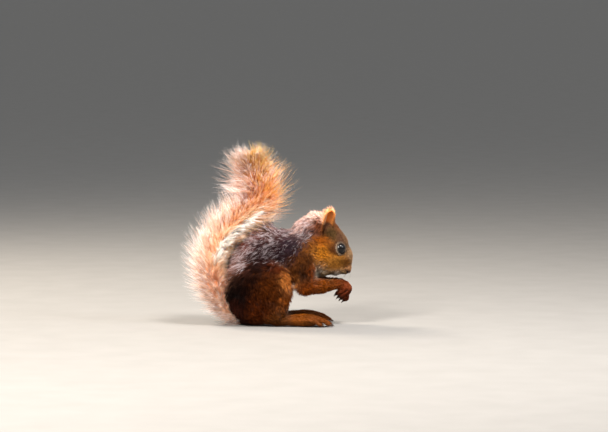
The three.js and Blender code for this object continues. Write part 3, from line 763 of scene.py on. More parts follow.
def move_vertices(mesh: bpy.types.Mesh, places: np.ndarray) -> None:
    """Puts a mesh's vertices at places in mm."""
    mesh.vertices.foreach_set("co", (places * MM).astype(np.float32).ravel())
    mesh.update()


def set_colour(mesh: bpy.types.Mesh, colours: np.ndarray) -> None:
    """Writes the attribute that the finishes read.

    Args:
        mesh: The mesh.
        colours: One linear colour a vertex.
    """
    layer = mesh.color_attributes.new("Fur", "FLOAT_COLOR", "POINT")
    full = np.ones((len(colours), 4), np.float32)
    full[:, :3] = np.clip(colours, 0, 1)
    layer.data.foreach_set("color", full.ravel())


def new_piece(name: str, mesh: bpy.types.Mesh, material: bpy.types.Material) -> bpy.types.Object:
    """Puts a mesh in the scene as a piece of the animal.

    Args:
        name: The piece's name.
        mesh: Its mesh, in metres.
        material: Its finish.

    Returns:
        The new object.
    """
    mesh.materials.clear()
    mesh.materials.append(material)
    mesh.shade_smooth()
    piece = bpy.data.objects.new(name, mesh)
    bpy.context.scene.collection.objects.link(piece)
    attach(piece, "root")
    LOG.info("%s: %d faces", name, len(mesh.polygons))
    return piece


def to_mesh(shape: bmesh.types.BMesh, name: str) -> bpy.types.Mesh:
    """Turns a bmesh to a mesh and frees it.

    Args:
        shape: The bmesh.
        name: The mesh's name.

    Returns:
        The mesh.
    """
    mesh = bpy.data.meshes.new(name)
    shape.to_mesh(mesh)
    shape.free()
    return mesh


def add_shape(whole: bmesh.types.BMesh, part: bmesh.types.BMesh) -> None:
    """Adds one bmesh to another and frees it.

    Args:
        whole: What it is added to.
        part: What is added.
    """
    mesh = to_mesh(part, "part")
    whole.from_mesh(mesh)
    bpy.data.meshes.remove(mesh)


# ---------------------------------------------------------------- the skin


@dataclass
class Ear:
    """An ear: a thin pointed cup that opens outwards."""

    side: Side
    root: tuple[float, float, float] = (64, 12, 86)
    height: float = 24.6
    half_width: float = 6.4
    half_depth: float = 4.2
    forward: float = 1.8  # how far the shell lies in front of its root
    pressed: float = 0.86  # of the shell's depth, its front is pressed in

    def frame(self) -> tuple[np.ndarray, np.ndarray, np.ndarray, np.ndarray]:
        """Finds how the ear stands.

        Returns:
            Its root and its directions: up to its tip, out of its cup, and across.
        """
        sign = self.side.value
        up = unit(np.array([0.18, sign * 0.14, 1.0]))
        faces = np.array([0.6, sign * 0.8, 0])
        out = unit(faces - up * faces.dot(up))
        return np.array(self.root) * np.array([1, sign, 1]), up, out, np.cross(up, out)

    def shell(self) -> bmesh.types.BMesh:
        """Shapes the skin: an oval with a blunt tip, whose front is pressed in to a cup with a rounded rim.

        Returns:
            The closed shape, in metres.
        """
        root, up, out, across = self.frame()
        shape = bmesh.new()
        bmesh.ops.create_uvsphere(shape, u_segments=40, v_segments=32, radius=1)
        for vertex in shape.verts:
            x, y, z = vertex.co
            share = (z + 1) / 2
            ring = math.hypot(x, y)
            taper = math.sqrt(max(0.0, 1 - share**5))
            wide = x / max(ring, 1e-6) * min(1.0, 2.2 * ring) * self.half_width * taper
            deep = self.half_depth * (1.15 - 0.45 * share**2) * abs(y)
            lip = math.exp(-((y / 0.22) ** 2))
            front = self.forward + lip * y * 5 - (1 - lip) * deep * self.pressed
            depth = self.forward - deep if y < 0 else front
            place = root + up * share * self.height + across * wide + out * depth
            vertex.co = Vector(place) * MM
        bmesh.ops.recalc_face_normals(shape, faces=shape.faces)
        return shape

    def colour(self, points: np.ndarray) -> np.ndarray:
        """The ear's colours: a bright orange cup, partly its own and partly a painted glow, with a pale rim
        line and a dark front edge; painted shade darkens its hollow middle and its root, and its brown hind
        fold is partly painted shade.

        Args:
            points: Places on the ear.

        Returns:
            Linear colours.
        """
        root, up, _, across = self.frame()
        local = points - root
        height = local @ up / self.height
        behind = local @ across * self.side.value / self.half_width
        # Painted shade: the cup is lighter at its rim and darker in its hollow middle.
        colour = mixed(linear("#ffa85a"), linear("#ee7e32"), np.exp(-((behind / 0.45) ** 2)))
        # Painted shade: the ear darkens towards its root, below the cup.
        colour = mixed(linear("#38180a"), colour, smoothstep(0.36, 0.6, height - 0.12 * behind))
        # The hind fold's brown is partly the fur on its back and partly painted shade, darker low down.
        fold_tone = mixed(linear("#6a3c1c"), linear("#c88a58"), smoothstep(0.3, 0.5, height))
        colour = mixed(colour, fold_tone, 0.8 * smoothstep(0.42, 0.6, behind))
        rim = np.exp(-(((behind - 0.46) / 0.1) ** 2))
        rim = rim * smoothstep(0.52, 0.62, height) * smoothstep(0.92, 0.8, height)
        return layered(colour, ("#f4c89c", 0.7 * rim), ("#3c200e", 0.8 * smoothstep(-0.82, -0.95, behind)))


@dataclass
class Skin:
    """The one skin under the coat, from the nose to the tail's end."""

    pelage: Pelage
    tail: Tail
    voxel: float = 0.92
    draft_voxel: float = 1.6
    swell: float = 0.25  # closes the hairline between two neighbouring solids
    socket: float = 5.0  # the radius of what fills an eye socket before the eyeball comes
    depth_share: float = 1.15  # of the height of the coat's tips is left for the coat
    depths: tuple[float, float] = (0.25, 4.4)  # the least and the most that the skin sinks
    shade: float = 0.55  # the skin is darker than the hair over it
    ear_shade: float = 0.8
    mesh: bpy.types.Mesh = field(init=False)  # the skin without the ears, and its arrays
    places: np.ndarray = field(init=False)
    corners: np.ndarray = field(init=False)
    ways: np.ndarray = field(init=False)
    owner: np.ndarray = field(init=False)  # the number in FLESH of each vertex's part, -1 for the tail

    def gathered(self) -> bmesh.types.BMesh:
        """Joins the body's solids and the tail's core in one shape, with the eye sockets filled.

        Returns:
            The shape, in metres, whose parts overlap.
        """
        whole = bmesh.new()
        for name in FLESH:
            whole.from_mesh(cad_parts[name].data)
        bmesh.ops.remove_doubles(whole, verts=whole.verts, dist=0.00001)
        whole.normal_update()
        for vertex in whole.verts:
            vertex.co += vertex.normal * self.swell * MM
        for side in Side:
            centre = self.pelage.EYE * np.array([1, side.value, 1])
            seat = Matrix.Translation(Vector(centre) * MM)
            bmesh.ops.create_icosphere(whole, subdivisions=3, radius=self.socket * MM, matrix=seat)
        add_shape(whole, self.tail.core())
        return whole

    def owners(self, centres: np.ndarray) -> np.ndarray:
        """Finds the body part that each place belongs to.

        Args:
            centres: Places on the skin.

        Returns:
            Each part's number in FLESH, with -1 for the tail.
        """
        soup = bmesh.new()
        first = []
        for name in FLESH:
            first.append(len(soup.faces))
            soup.from_mesh(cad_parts[name].data)
        first.append(len(soup.faces))
        add_shape(soup, self.tail.core())
        tree = BVHTree.FromBMesh(soup)
        soup.free()
        face = np.array([tree.find_nearest(Vector(c) * MM)[2] for c in centres])
        number = np.searchsorted(np.array(first), face, side="right") - 1
        return np.where(number >= len(FLESH), -1, number)

    def remeshed(self) -> bpy.types.Mesh:
        """Makes the gathered shape one closed surface of small even faces.

        Returns:
            The mesh.
        """
        rough = bpy.data.objects.new("rough", to_mesh(self.gathered(), "rough"))
        bpy.context.scene.collection.objects.link(rough)
        remesh = rough.modifiers.new("remesh", "REMESH")
        remesh.mode = "VOXEL"
        remesh.voxel_size = self.voxel * MM * 1
        graph = bpy.context.evaluated_depsgraph_get()
        mesh = bpy.data.meshes.new_from_object(rough.evaluated_get(graph))
        bpy.data.objects.remove(rough)
        return mesh

    def smoothed(self, mesh: bpy.types.Mesh) -> np.ndarray:
        """Melts away the solids' facets and joins, less on the face, hands and feet than on the trunk.

        Args:
            mesh: The remeshed surface.

        Returns:
            The new places of its vertices, in mm.
        """
        places, _, _ = mesh_arrays(mesh)
        edges = np.empty(len(mesh.edges) * 2, np.int32)
        mesh.edges.foreach_get("vertices", edges)
        a, b = edges.reshape(-1, 2).T
        ends, others = np.concatenate([a, b]), np.concatenate([b, a])
        count = np.bincount(ends, minlength=len(places))[:, None]
        length, _, _ = self.pelage.hair(places)
        soft = smoothstep(1.0, 6.0, length)[:, None]
        for step in range(26):
            share = np.where(step < 3, 0.3 + 0.2 * soft, 0.5 * soft)
            pulled = [np.bincount(ends, places[others, k], len(places)) for k in range(3)]
            places = places + share * (np.stack(pulled, axis=1) / count - places)
        return places

    def depth(self, places: np.ndarray) -> np.ndarray:
        """How far the skin sinks under the solids, to leave room for the coat.

        Args:
            places: Places on the skin.

        Returns:
            The depths in mm, with a dip more in the nostrils, between the digits and at the nape.
        """
        length, lift, _ = self.pelage.hair(places)
        depth = np.clip(self.depth_share * length * np.sin(lift), *self.depths)
        depth[self.owner < 0] = 0
        depth *= smoothstep(4.5, 7.5, self.pelage.from_eye(places))
        depth += 1.1 * np.exp(-self.pelage.from_nostril(places) ** 2) + 0.9 * self.pelage.crease(places)
        depth += 2.2 * np.exp(-(((places - [48, 0, 106]) / [8, 14, 7]) ** 2).sum(axis=1))
        return depth

    def build(self) -> bpy.types.Object:
        """Makes the skin, sinks it by the coat's depth and dresses it.

        Returns:
            The skin's object, with the ears' skin joined on.
        """
        self.mesh = self.remeshed()
        places = self.smoothed(self.mesh)
        move_vertices(self.mesh, places)
        _, _, ways = mesh_arrays(self.mesh)
        self.owner = self.owners(places)
        places = places - ways * self.depth(places)[:, None]
        places[:, 2] = np.maximum(places[:, 2], 0.0)
        move_vertices(self.mesh, places)
        colours = self.pelage.colour(places) * self.shade
        colours[self.owner < 0] = linear(Tail.UNDERCOAT)
        self.places, self.corners, self.ways = mesh_arrays(self.mesh)
        joined = bmesh.new()
        joined.from_mesh(self.mesh)
        full = [colours]
        for side in Side:
            ear = Ear(side)
            shape = to_mesh(ear.shell(), "ear")
            points, _, _ = mesh_arrays(shape)
            full.append(ear.colour(points) * self.ear_shade)
            joined.from_mesh(shape)
            bpy.data.meshes.remove(shape)
        skin_mesh = to_mesh(joined, "skin")
        set_colour(skin_mesh, np.concatenate(full))
        piece = new_piece("skin", skin_mesh, Hide().material())
        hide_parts(*FLESH, "ear_right", "ear_left")
        return piece

    def body_tree(self) -> BVHTree:
        """Makes a search tree of the skin without the tail, which the tail's hair keeps clear of.

        Returns:
            The tree, in metres.
        """
        body = bmesh.new()
        body.from_mesh(self.mesh)
        tail = [vertex for vertex, owner in zip(body.verts, self.owner) if owner < 0]
        bmesh.ops.delete(body, geom=tail, context="VERTS")
        tree = BVHTree.FromBMesh(body)
        body.free()
        return tree


# ---------------------------------------------------------------- the coat


@dataclass
class Strands:
    """Many tapered hairs, each given by a row: its path, its width and its colours."""

    paths: np.ndarray  # (strands, places along each, 3), the last place is the tip
    flats: np.ndarray  # (strands, 3), the direction across each
    widths: np.ndarray  # (strands,) in mm, at the root
    roots: np.ndarray  # (strands, 3) the colour at the root
    tips: np.ndarray  # (strands, 3) the colour at the tip
    spots: np.ndarray  # (strands, 2) the root's place on an unwrap of the skin, from 0 to 1

    PATCH = 0.003  # how wide a strand's own patch of the unwrap is
    FLATNESS = 0.7  # a strand's thickness to its width
    LOWEST = 0.05  # no strand dips nearer to the floor, in mm

    def taken(self, keep: np.ndarray) -> "Strands":
        """The strands of the given rows."""
        rows = (self.paths, self.flats, self.widths, self.roots, self.tips, self.spots)
        return Strands(*(row[keep] for row in rows))

    def spike(self) -> list[tuple[int, int, int]]:
        """The triangles of one strand, which is closed at both ends.

        Returns:
            The numbers of their corners, with three to a ring and the tip as the last.
        """
        last = (self.paths.shape[1] - 2) * 3
        faces = [(0, 2, 1)]
        for ring in range(0, last, 3):
            for k in range(3):
                a, b = ring + k, ring + (k + 1) % 3
                faces += [(a, b, b + 3), (a, b + 3, a + 3)]
        return faces + [(last + k, last + (k + 1) % 3, last + 3) for k in range(3)]

    def mesh(self, name: str) -> bpy.types.Mesh:
        """Makes all the strands closed three-sided spikes in one mesh.

        Args:
            name: The mesh's name.

        Returns:
            The mesh, with the attribute Fur and the UV map OFBake.
        """
        count, steps, _ = self.paths.shape
        rings = steps - 1
        along = unit(np.gradient(self.paths, axis=1))
        flat = unit(flattened(self.flats[:, None], along))
        thin = np.cross(along, flat)
        turn = (2 * np.pi * np.arange(3) / 3)[None, None, :, None]
        taper = 1 - 0.5 * (np.arange(rings) / rings) ** 1.5
        half = self.widths[:, None, None, None] / 2 * taper[None, :, None, None]
        around = flat[:, :rings, None] * np.cos(turn)
        around = around + thin[:, :rings, None] * self.FLATNESS * np.sin(turn)
        body = self.paths[:, :rings, None] + half * around
        places = np.concatenate([body.reshape(count, rings * 3, 3), self.paths[:, -1:]], axis=1)
        places[:, :, 2] = np.maximum(places[:, :, 2], self.LOWEST)
        per = rings * 3 + 1
        corners = (np.arange(count)[:, None, None] * per + np.array(self.spike())[None]).reshape(-1)

        mesh = bpy.data.meshes.new(name)
        mesh.vertices.add(count * per)
        mesh.vertices.foreach_set("co", (places * MM).astype(np.float32).ravel())
        mesh.loops.add(len(corners))
        mesh.loops.foreach_set("vertex_index", corners.astype(np.int32))
        mesh.polygons.add(len(corners) // 3)
        mesh.polygons.foreach_set("loop_start", np.arange(0, len(corners), 3, dtype=np.int32))
        mesh.update(calc_edges=True)

        share = np.concatenate([np.repeat(np.arange(rings) / rings, 3), [1.0]])
        late = (share**1.3)[None, :, None]
        tone = self.roots[:, None] * (1 - late) + self.tips[:, None] * late
        set_colour(mesh, tone.reshape(-1, 3))
        across = np.concatenate([np.tile([0.0, 0.5, 1.0], rings), [0.5]])
        own = np.stack([across, share], axis=1)[None] * self.PATCH + self.spots[:, None] * (1 - self.PATCH)
        layer = mesh.uv_layers.new(name="OFBake")
        layer.data.foreach_set("uv", own.reshape(-1, 2)[corners].astype(np.float32).ravel())
        return mesh


@dataclass(frozen=True)
class Growth:
    """How one part of the body is covered: its body parts, how many tufts, and how many hairs in each."""

    name: str
    parts: tuple[str, ...]
    tufts: int
    hairs: int
    width: float
    bends: bool  # short hair is straight
    axis: tuple[tuple[float, float, float], tuple[float, float, float]]  # of the unwrap
    slot: str


GROWTHS = [
    Growth("coat_head", ("head",), 10600, 4, 0.28, False, ((66, 0, 90), (84, 0, 54)), "face_fur"),
    Growth("coat_neck", ("neck",), 2350, 5, 0.46, True, ((42, 0, 78), (62, 0, 78)), "face_fur"),
    Growth("coat_trunk", ("torso",), 5500, 5, 0.4, True, ((-5, 0, 20), (30, 0, 80)), "back_fur"),
]
PAIRED = [
    ("thigh", ("thigh",), 1550, 5, 0.44, True, ((-8, 0, 40), (16, 0, 40)), "back_fur"),
    ("shank", ("shank",), 700, 5, 0.44, True, ((-8, 0, 16), (16, 0, 16)), "limb_fur"),
    ("arm", ("upper_arm", "forearm"), 1250, 4, 0.38, True, ((44, 0, 60), (72, 0, 38)), "limb_fur"),
    ("hand", ("hand",), 1300, 4, 0.26, False, ((78, 0, 42), (82, 0, 24)), "limb_fur"),
    ("foot", ("foot",), 2350, 4, 0.27, False, ((16, 0, 6), (70, 0, 6)), "limb_fur"),
]
GROWTHS += [
    Growth(f"coat_{name}_{side.label}", tuple(f"{part}_{side.label}" for part in parts), *rest)
    for name, parts, *rest in PAIRED
    for side in Side
]


def scatter(
    rng: np.random.Generator, places: np.ndarray, ways: np.ndarray, corners: np.ndarray, count: int
) -> tuple[np.ndarray, np.ndarray]:
    """Draws places evenly over a surface.

    Args:
        rng: The source of random numbers.
        places: The surface's vertices.
        ways: Their outward directions.
        corners: Its triangles.
        count: How many places to draw.

    Returns:
        The places and the outward directions there.
    """
    a, b, c = (places[corners[:, k]] for k in range(3))
    area = np.linalg.norm(np.cross(b - a, c - a), axis=1)
    chosen = corners[rng.choice(len(corners), count, p=area / area.sum())]
    u, v = rng.random((2, count))
    over = u + v > 1
    u, v = np.where(over, 1 - u, u), np.where(over, 1 - v, v)
    share = np.stack([1 - u - v, u, v], axis=1)[:, :, None]
    return (places[chosen] * share).sum(axis=1), unit((ways[chosen] * share).sum(axis=1))


def settled(places: np.ndarray, corners: np.ndarray) -> np.ndarray:
    """Puts triangles in an order that is the same in every run, because a bmesh sphere's faces have none.

    Args:
        places: The surface's vertices.
        corners: Its triangles.

    Returns:
        The triangles, each from its lowest vertex on, by the places of their vertices.
    """
    rank = np.empty(len(places), int)
    rank[np.lexsort(places.round(4).T)] = np.arange(len(places))
    turn = (rank[corners].argmin(axis=1)[:, None] + np.arange(3)) % 3
    corners = np.take_along_axis(corners, turn, axis=1)
    return corners[np.lexsort(rank[corners].T)]


def unwrapped(points: np.ndarray, start: np.ndarray, end: np.ndarray) -> np.ndarray:
    """Places on an unwrap of a rounded shape.

    Args:
        points: Places on the shape.
        start: One end of its axis.
        end: The other.

    Returns:
        How far each is round the axis and along it, from 0 to 1.
    """
    way = unit(end - start)
    side = unit(np.cross(way, [0, 0, 1.0]) + 1e-6)
    up = np.cross(side, way)
    off = points - start
    flat = np.stack([np.arctan2(off @ side, off @ up) / (2 * np.pi) + 0.5, off @ way], axis=1)
    low, high = flat.min(axis=0), flat.max(axis=0)
    return (flat - low) / np.maximum(high - low, 1e-6)


@dataclass
class BodyCoat:
    """The coat of the head, body and limbs."""

    skin: Skin
    pelage: Pelage
    seed: int = 7
    bare_eye: float = 5.6  # no hair grows nearer to the eye's middle
    bare_nose: float = 2.7  # or to the nose's
    rooted: float = 0.15  # how deep in the skin a strand starts
    guards: float = 0.1  # the share of hairs that stand out of their tuft
    widest: float = 35.4  # the hair keeps within this distance of the middle plane

    def tuft_roots(
        self, growth: Growth, rng: np.random.Generator
    ) -> tuple[np.ndarray, np.ndarray, np.ndarray]:
        """Draws where the tufts of one part of the body grow.

        Args:
            growth: Which part, and how thickly it is covered.
            rng: The source of random numbers.

        Returns:
            The tufts' places, the skin's outward directions there, and the coat's lie.
        """
        wanted = [FLESH.index(name) for name in growth.parts]
        owner = self.skin.owner[self.skin.corners[:, 0]]
        corners = self.skin.corners[np.isin(owner, wanted)]
        centre, normal = scatter(rng, self.skin.places, self.skin.ways, corners, growth.tufts // DRAFT)
        keep = self.pelage.from_eye(centre) > self.bare_eye
        keep &= np.linalg.norm(fold(centre) - Pelage.NOSE, axis=1) > self.bare_nose
        keep &= (self.pelage.from_nostril(centre) > 1.0) & (self.pelage.crease(centre) < 0.4)
        keep &= ~((centre[:, 2] < 1.6) & (normal[:, 2] < -0.3))  # none where the animal stands
        centre, normal = centre[keep], normal[keep]
        lie = self.pelage.lie(centre, normal)
        lie = unit(lie + 0.4 * ripple(centre, 12, 3) + 0.16 * rng.normal(size=centre.shape))
        return centre, normal, unit(flattened(lie, normal))

    def strands(self, growth: Growth) -> Strands:
        """Grows the hair of one part of the body, in tufts that draw together towards their tips.

        Args:
            growth: Which part, and how thickly it is covered.

        Returns:
            The strands.
        """
        rng = np.random.default_rng(self.seed + len(growth.name) + growth.tufts)
        centre, normal, lie = self.tuft_roots(growth, rng)
        count = len(centre)
        length, lift, pale = self.pelage.hair(centre)
        short = 1 - 0.5 * smoothstep(8.5, 6.0, self.pelage.from_eye(centre))
        size = length * rng.uniform(0.8, 1.15, count) * short
        rise = lift * rng.uniform(0.55, 1.4, count)
        summit = centre + size[:, None] * (lie * np.cos(rise)[:, None] + normal * np.sin(rise)[:, None])
        stray = rng.normal(size=centre.shape) * np.minimum(0.3 * length, 1.8)[:, None]
        tone = self.pelage.colour(centre, stray) * rng.uniform(0.65, 1.32, count)[:, None]

        rows = np.repeat(np.arange(count), growth.hairs)
        normal, lie, size, summit = normal[rows], lie[rows], size[rows][:, None], summit[rows]
        offset = flattened(rng.normal(size=(len(rows), 3)) * (0.3 + 0.085 * size), normal)
        start = centre[rows] + offset - normal * self.rooted
        guard = rng.random((len(rows), 1)) < self.guards
        reach = rng.uniform(0.75, 1.1, (len(rows), 1)) + 0.15 * guard
        tip = start + (summit + 0.3 * offset + 0.05 * size * rng.normal(size=offset.shape) - start) * reach
        tip += normal * size * 0.1 * guard
        middle = (start + tip) / 2 + normal * size * rng.uniform(0.04, 0.1, (len(rows), 1))
        tone = tone[rows] * rng.uniform(0.85, 1.15, (len(rows), 1))
        draw = 0.5 * rng.random(count)[rows] + 0.5 * rng.random(len(rows))
        tipped = draw < 0.14 + 0.36 * smoothstep(0.14, 0.7, pale)[rows]
        light = (tipped & (pale[rows] > 0.14))[:, None]
        paths = np.stack([start, middle, tip] if growth.bends else [start, tip], axis=1)
        paths[:, :, 1] = np.clip(paths[:, :, 1], -self.widest, self.widest)
        return Strands(
            paths,
            np.cross(normal, lie),
            growth.width * math.sqrt(DRAFT) * rng.uniform(0.8, 1.2, len(rows)),
            # Each hair darkens towards its root, partly as the coat's darker under-hair and partly as painted
            # shade deep in the coat.
            tone * np.where(light, 0.55, 0.48),
            np.where(light, mixed(tone, linear("#f4e8ee"), 0.8), tone * 1.15),
            unwrapped(centre[rows], *np.array(growth.axis, float)),
        )

    def build(self, material: bpy.types.Material) -> None:
        """Grows the coat, in pieces that follow the body's parts.

        Args:
            material: The hair's finish.
        """
        for growth in GROWTHS:
            add_coat(growth.name, self.strands(growth), material)


def add_coat(
    name: str, strands: Strands, material: bpy.types.Material, most: int = 190000
) -> None:
    """Adds a coat to the scene, split along its unwrap where it has too many faces for one piece.

    Args:
        name: The name of the piece, or the start of the names.
        strands: Its hairs.
        material: Their finish.
        most: The most faces in a piece.
    """
    parts = math.ceil(len(strands.paths) * len(strands.spike()) / most)
    for number, rows in enumerate(np.array_split(np.argsort(strands.spots[:, 1]), parts)):
        part = strands.taken(rows)
        if parts > 1:
            low, high = part.spots[:, 1].min(), part.spots[:, 1].max()
            part.spots[:, 1] = (part.spots[:, 1] - low) / (high - low)
        label = f"{name}_{number + 1}" if parts > 1 else name
        new_piece(label, part.mesh(label), material)


@dataclass
class TailCoat:
    """The tail's long, loose hair, which parts along its two sides."""

    tail: Tail
    skin_tree: BVHTree
    wisps: int = 5600
    hairs: int = 5
    width: float = 0.36
    seed: int = 21
    singles: float = 0.3  # the share of hairs that stand alone

    # The line of the painted light streak, (x, z): a nearly white core in a peach glow, for sunlight on the
    # tail where its hair parts.
    STREAK = np.array([[-38.0, 66.0], [-31.0, 79.0], [-18.0, 90.0], [4.0, 108.0]])
    FARTHEST = -68.0  # behind this x the hair bends back towards the tail, within SOFT_END
    SOFT_END = 8.0
    WIDEST = 30.0  # so far from the middle plane it bends back too, within SOFT_SIDE
    SOFT_SIDE = 5.5
    LOWEST = 0.3
    STEPS = (0.0, 0.36, 0.7, 1.0)  # the places along a hair
    CLEAR = 0.0015  # a place nearer to the body, in metres, is moved to MOVED from it
    MOVED = 0.0018

    def markings(
        self, places: np.ndarray, share: np.ndarray, angle: np.ndarray, wisp: np.ndarray
    ) -> tuple[np.ndarray, np.ndarray, np.ndarray]:
        """Colours the hairs orange, with pale or smoky ends behind, and painted light: a nearly white streak
        in a peach glow, and a brighter tint on the lower side towards the body.

        Args:
            places: A place on the outer part of each hair.
            share: How far along the tail each grows.
            angle: The angle round it.
            wisp: The number of the wisp that each is in.

        Returns:
            The colours at the root and at the tip, and how far each is in the white core of the painted light
            streak, from 0 to 1.
        """
        rng = np.random.default_rng(self.seed + 1)
        draw = rng.random((wisp.max() + 1, 3))[wisp]
        behind = smoothstep(0.35, -0.75, np.sin(angle))
        low = smoothstep(0.66, 0.42, share)
        # Painted light: the lower side towards the body, which lies in shade against the back, gets a
        # brighter, warmer orange.
        inner = smoothstep(0.1, 0.5, np.sin(angle)) * smoothstep(0.68, 0.56, share)
        root = layered(
            linear("#e07a2c"),
            ("#f0b088", low * (0.4 + 0.6 * draw[:, 0])),
            ("#d8640c", smoothstep(0.55, 0.75, share) * (1 - 0.6 * behind)),
            ("#eab08c", 0.5 * behind * smoothstep(0.78, 0.66, share)),
            ("#f08c4c", inner),
        )
        end = layered(
            linear("#ea8a3e"),
            ("#f0ccba", np.maximum(0.6 * behind, low) * 0.8),
            ("#eeb48c", draw[:, 1] * 0.4),
            ("#f0842c", 0.75 * smoothstep(0.5, 0.7, share) * (1 - 0.5 * behind)),
            ("#b0785a", 0.35 * behind * smoothstep(0.66, 0.76, share)),
            ("#86503a", smoothstep(0.8, 1, share) * (0.35 + 0.6 * draw[:, 1])),
            ("#f8a878", inner * 0.9),
        )
        smoky = draw[:, 2] < 0.08 + 0.4 * behind + 0.14 * smoothstep(0.7, 0.9, share)
        end = np.where(smoky[:, None], linear("#74626c"), end)
        end = np.where((draw[:, 2] > 0.9 - 0.26 * behind)[:, None], linear("#e6dee2"), end)
        # Painted light: a nearly white core (pale) in a wider peach glow (glow), along the streak.
        line, _ = resampled(np.insert(self.STREAK, 1, 0, axis=1), 2.0)
        near = nearest(places * [1, 0, 1], line)
        near = np.abs(near + 1.2 * rng.normal(size=len(near)))
        wide = 3.8 + 2.8 * smoothstep(4, -30, places[:, 0])
        glow, pale = smoothstep(20, 5, near) * 0.85, smoothstep(wide, 0.35 * wide, near)
        root = layered(root, ("#ffaa66", glow), ("#fff2e2", pale))
        end = layered(end, ("#ffd0a4", glow), ("#fffcf6", pale))
        dusk = 1 - 0.5 * smoothstep(0.76, 0.98, share)[:, None] * (1 - 0.3 * draw[:, :1])
        return root * dusk, end * dusk, pale

    def strands(self) -> Strands:
        """Grows wisps that draw together towards their tips, with long single hairs between them.

        Returns:
            The strands.
        """
        tail, rng = self.tail, np.random.default_rng(self.seed)
        count = self.wisps // DRAFT
        share = np.minimum(rng.uniform(0.0, 1.06, count), 1)
        angle = rng.uniform(-np.pi, np.pi, count)
        keep = (np.sin(angle) < 0.25) | (rng.random(count) < 0.8) | (share > 0.5)
        share, angle = share[keep], angle[keep]
        rows = np.repeat(np.arange(len(share)), self.hairs)
        far = (rng.uniform(0.54, 0.9, len(share)) - 0.07 * smoothstep(0.2, -0.8, np.sin(angle)))[rows]
        sway = rng.normal(size=len(share))[rows] * 0.1
        lean = (rng.uniform(0.3, 0.62, len(share)) + 0.3 * smoothstep(0.88, 1, share))[rows]
        share, angle = share[rows], angle[rows]
        count = len(share)

        single = rng.random(count) < self.singles
        wild = 1.18 + 0.25 * smoothstep(0.66, 0.8, share)
        alone = 0.8 + (wild - 0.8) * rng.random(count) ** 1.6
        far = np.where(single, alone, far * rng.uniform(0.8, 1.06, count))
        far = far * (1 - rng.uniform(0, 0.9, count) * smoothstep(0.9, 1, share))
        root_share = np.clip(share + rng.normal(size=count) * 0.014, 0, 1)
        root_angle = angle + rng.normal(size=count) * 0.13
        reach = tail.reach(share, angle)
        onward = (lean * reach + rng.normal(size=count) * 1.2) * np.minimum(far, 1) / tail.length
        most = 1 + (rng.uniform(0.3, 0.9, count) + 0.25 * single) * tail.CAP / tail.length
        tip_share = np.minimum(share + onward, most)
        stray = rng.normal(size=count) * np.where(single, 0.12, 0.035)
        tip_angle = angle + sway + 0.12 * np.sin(2 * angle) + stray
        inward = np.where(share > 0.99, rng.random(count), 1)

        rooted = tail.reach(root_share, root_angle) * tail.CORE * 0.92 * inward
        start = tail.place(root_share, root_angle, rooted)
        inside = np.minimum(tip_share, 1 + 0.9 * (most - 1).clip(0, 0.1))
        out = np.minimum(tail.reach(inside, tip_angle), reach * 1.12)
        half_way = root_share + 0.62 * (tip_share - root_share)
        bend = tail.place(half_way, (root_angle + tip_angle) / 2, reach * 0.6 * far)
        tip = tail.place(tip_share, tip_angle, out * far)
        bend += ripple(bend, 9, 8) * 1.2
        tip += ripple(tip, 7, 9) * 1.8 + rng.normal(size=tip.shape) * 0.5
        paths = curved(start, self.clear_of_body(bend), self.clear_of_body(tip), self.STEPS)
        self.keep_in(paths)

        roots, tips, in_painted_streak = self.markings(paths[:, 2], share, angle, rows)
        tone = rng.uniform(0.88, 1.12, count)[:, None]
        spots = np.stack([(angle + np.pi) / (2 * np.pi), share], axis=1)
        flats = unit(rng.normal(size=(count, 3)))
        widths = self.width * math.sqrt(DRAFT) * np.where(single, 0.5, 1 + 1.2 * in_painted_streak)
        widths = widths * rng.uniform(0.75, 1.25, count)
        return Strands(paths, flats, widths, roots * tone, tips * tone, np.clip(spots, 0, 1))

    def keep_in(self, paths: np.ndarray) -> None:
        """Bends hairs softly back where they stand out too far.

        Args:
            paths: The hairs, which are changed.
        """
        paths[:, 1:, 2] = np.maximum(paths[:, 1:, 2], self.LOWEST)
        over = np.maximum(self.FARTHEST - paths[:, :, 0], 0)
        paths[:, :, 0] += over - self.SOFT_END * np.tanh(over / self.SOFT_END)
        beside = np.abs(paths[:, :, 1])
        over = np.maximum(beside - self.WIDEST, 0)
        beside = np.minimum(beside, self.WIDEST + self.SOFT_SIDE * np.tanh(over / self.SOFT_SIDE))
        paths[:, :, 1] = np.copysign(beside, paths[:, :, 1])

    def clear_of_body(self, points: np.ndarray) -> np.ndarray:
        """Moves places that would lie in the body out to its surface.

        Args:
            points: Places on the hairs.

        Returns:
            The places, clear of the body.
        """
        out = points.copy()
        for i in np.nonzero((points[:, 0] > -42) & (points[:, 2] < 108))[0]:
            near, normal, _, _ = self.skin_tree.find_nearest(Vector(points[i]) * MM)
            if near is not None and (Vector(points[i]) * MM - near).dot(normal) < self.CLEAR:
                out[i] = np.array(near + normal * self.MOVED) / MM
        return out

    def build(self, material: bpy.types.Material) -> None:
        """Grows the tail's hair."""
        add_coat("coat_tail", self.strands(), material)


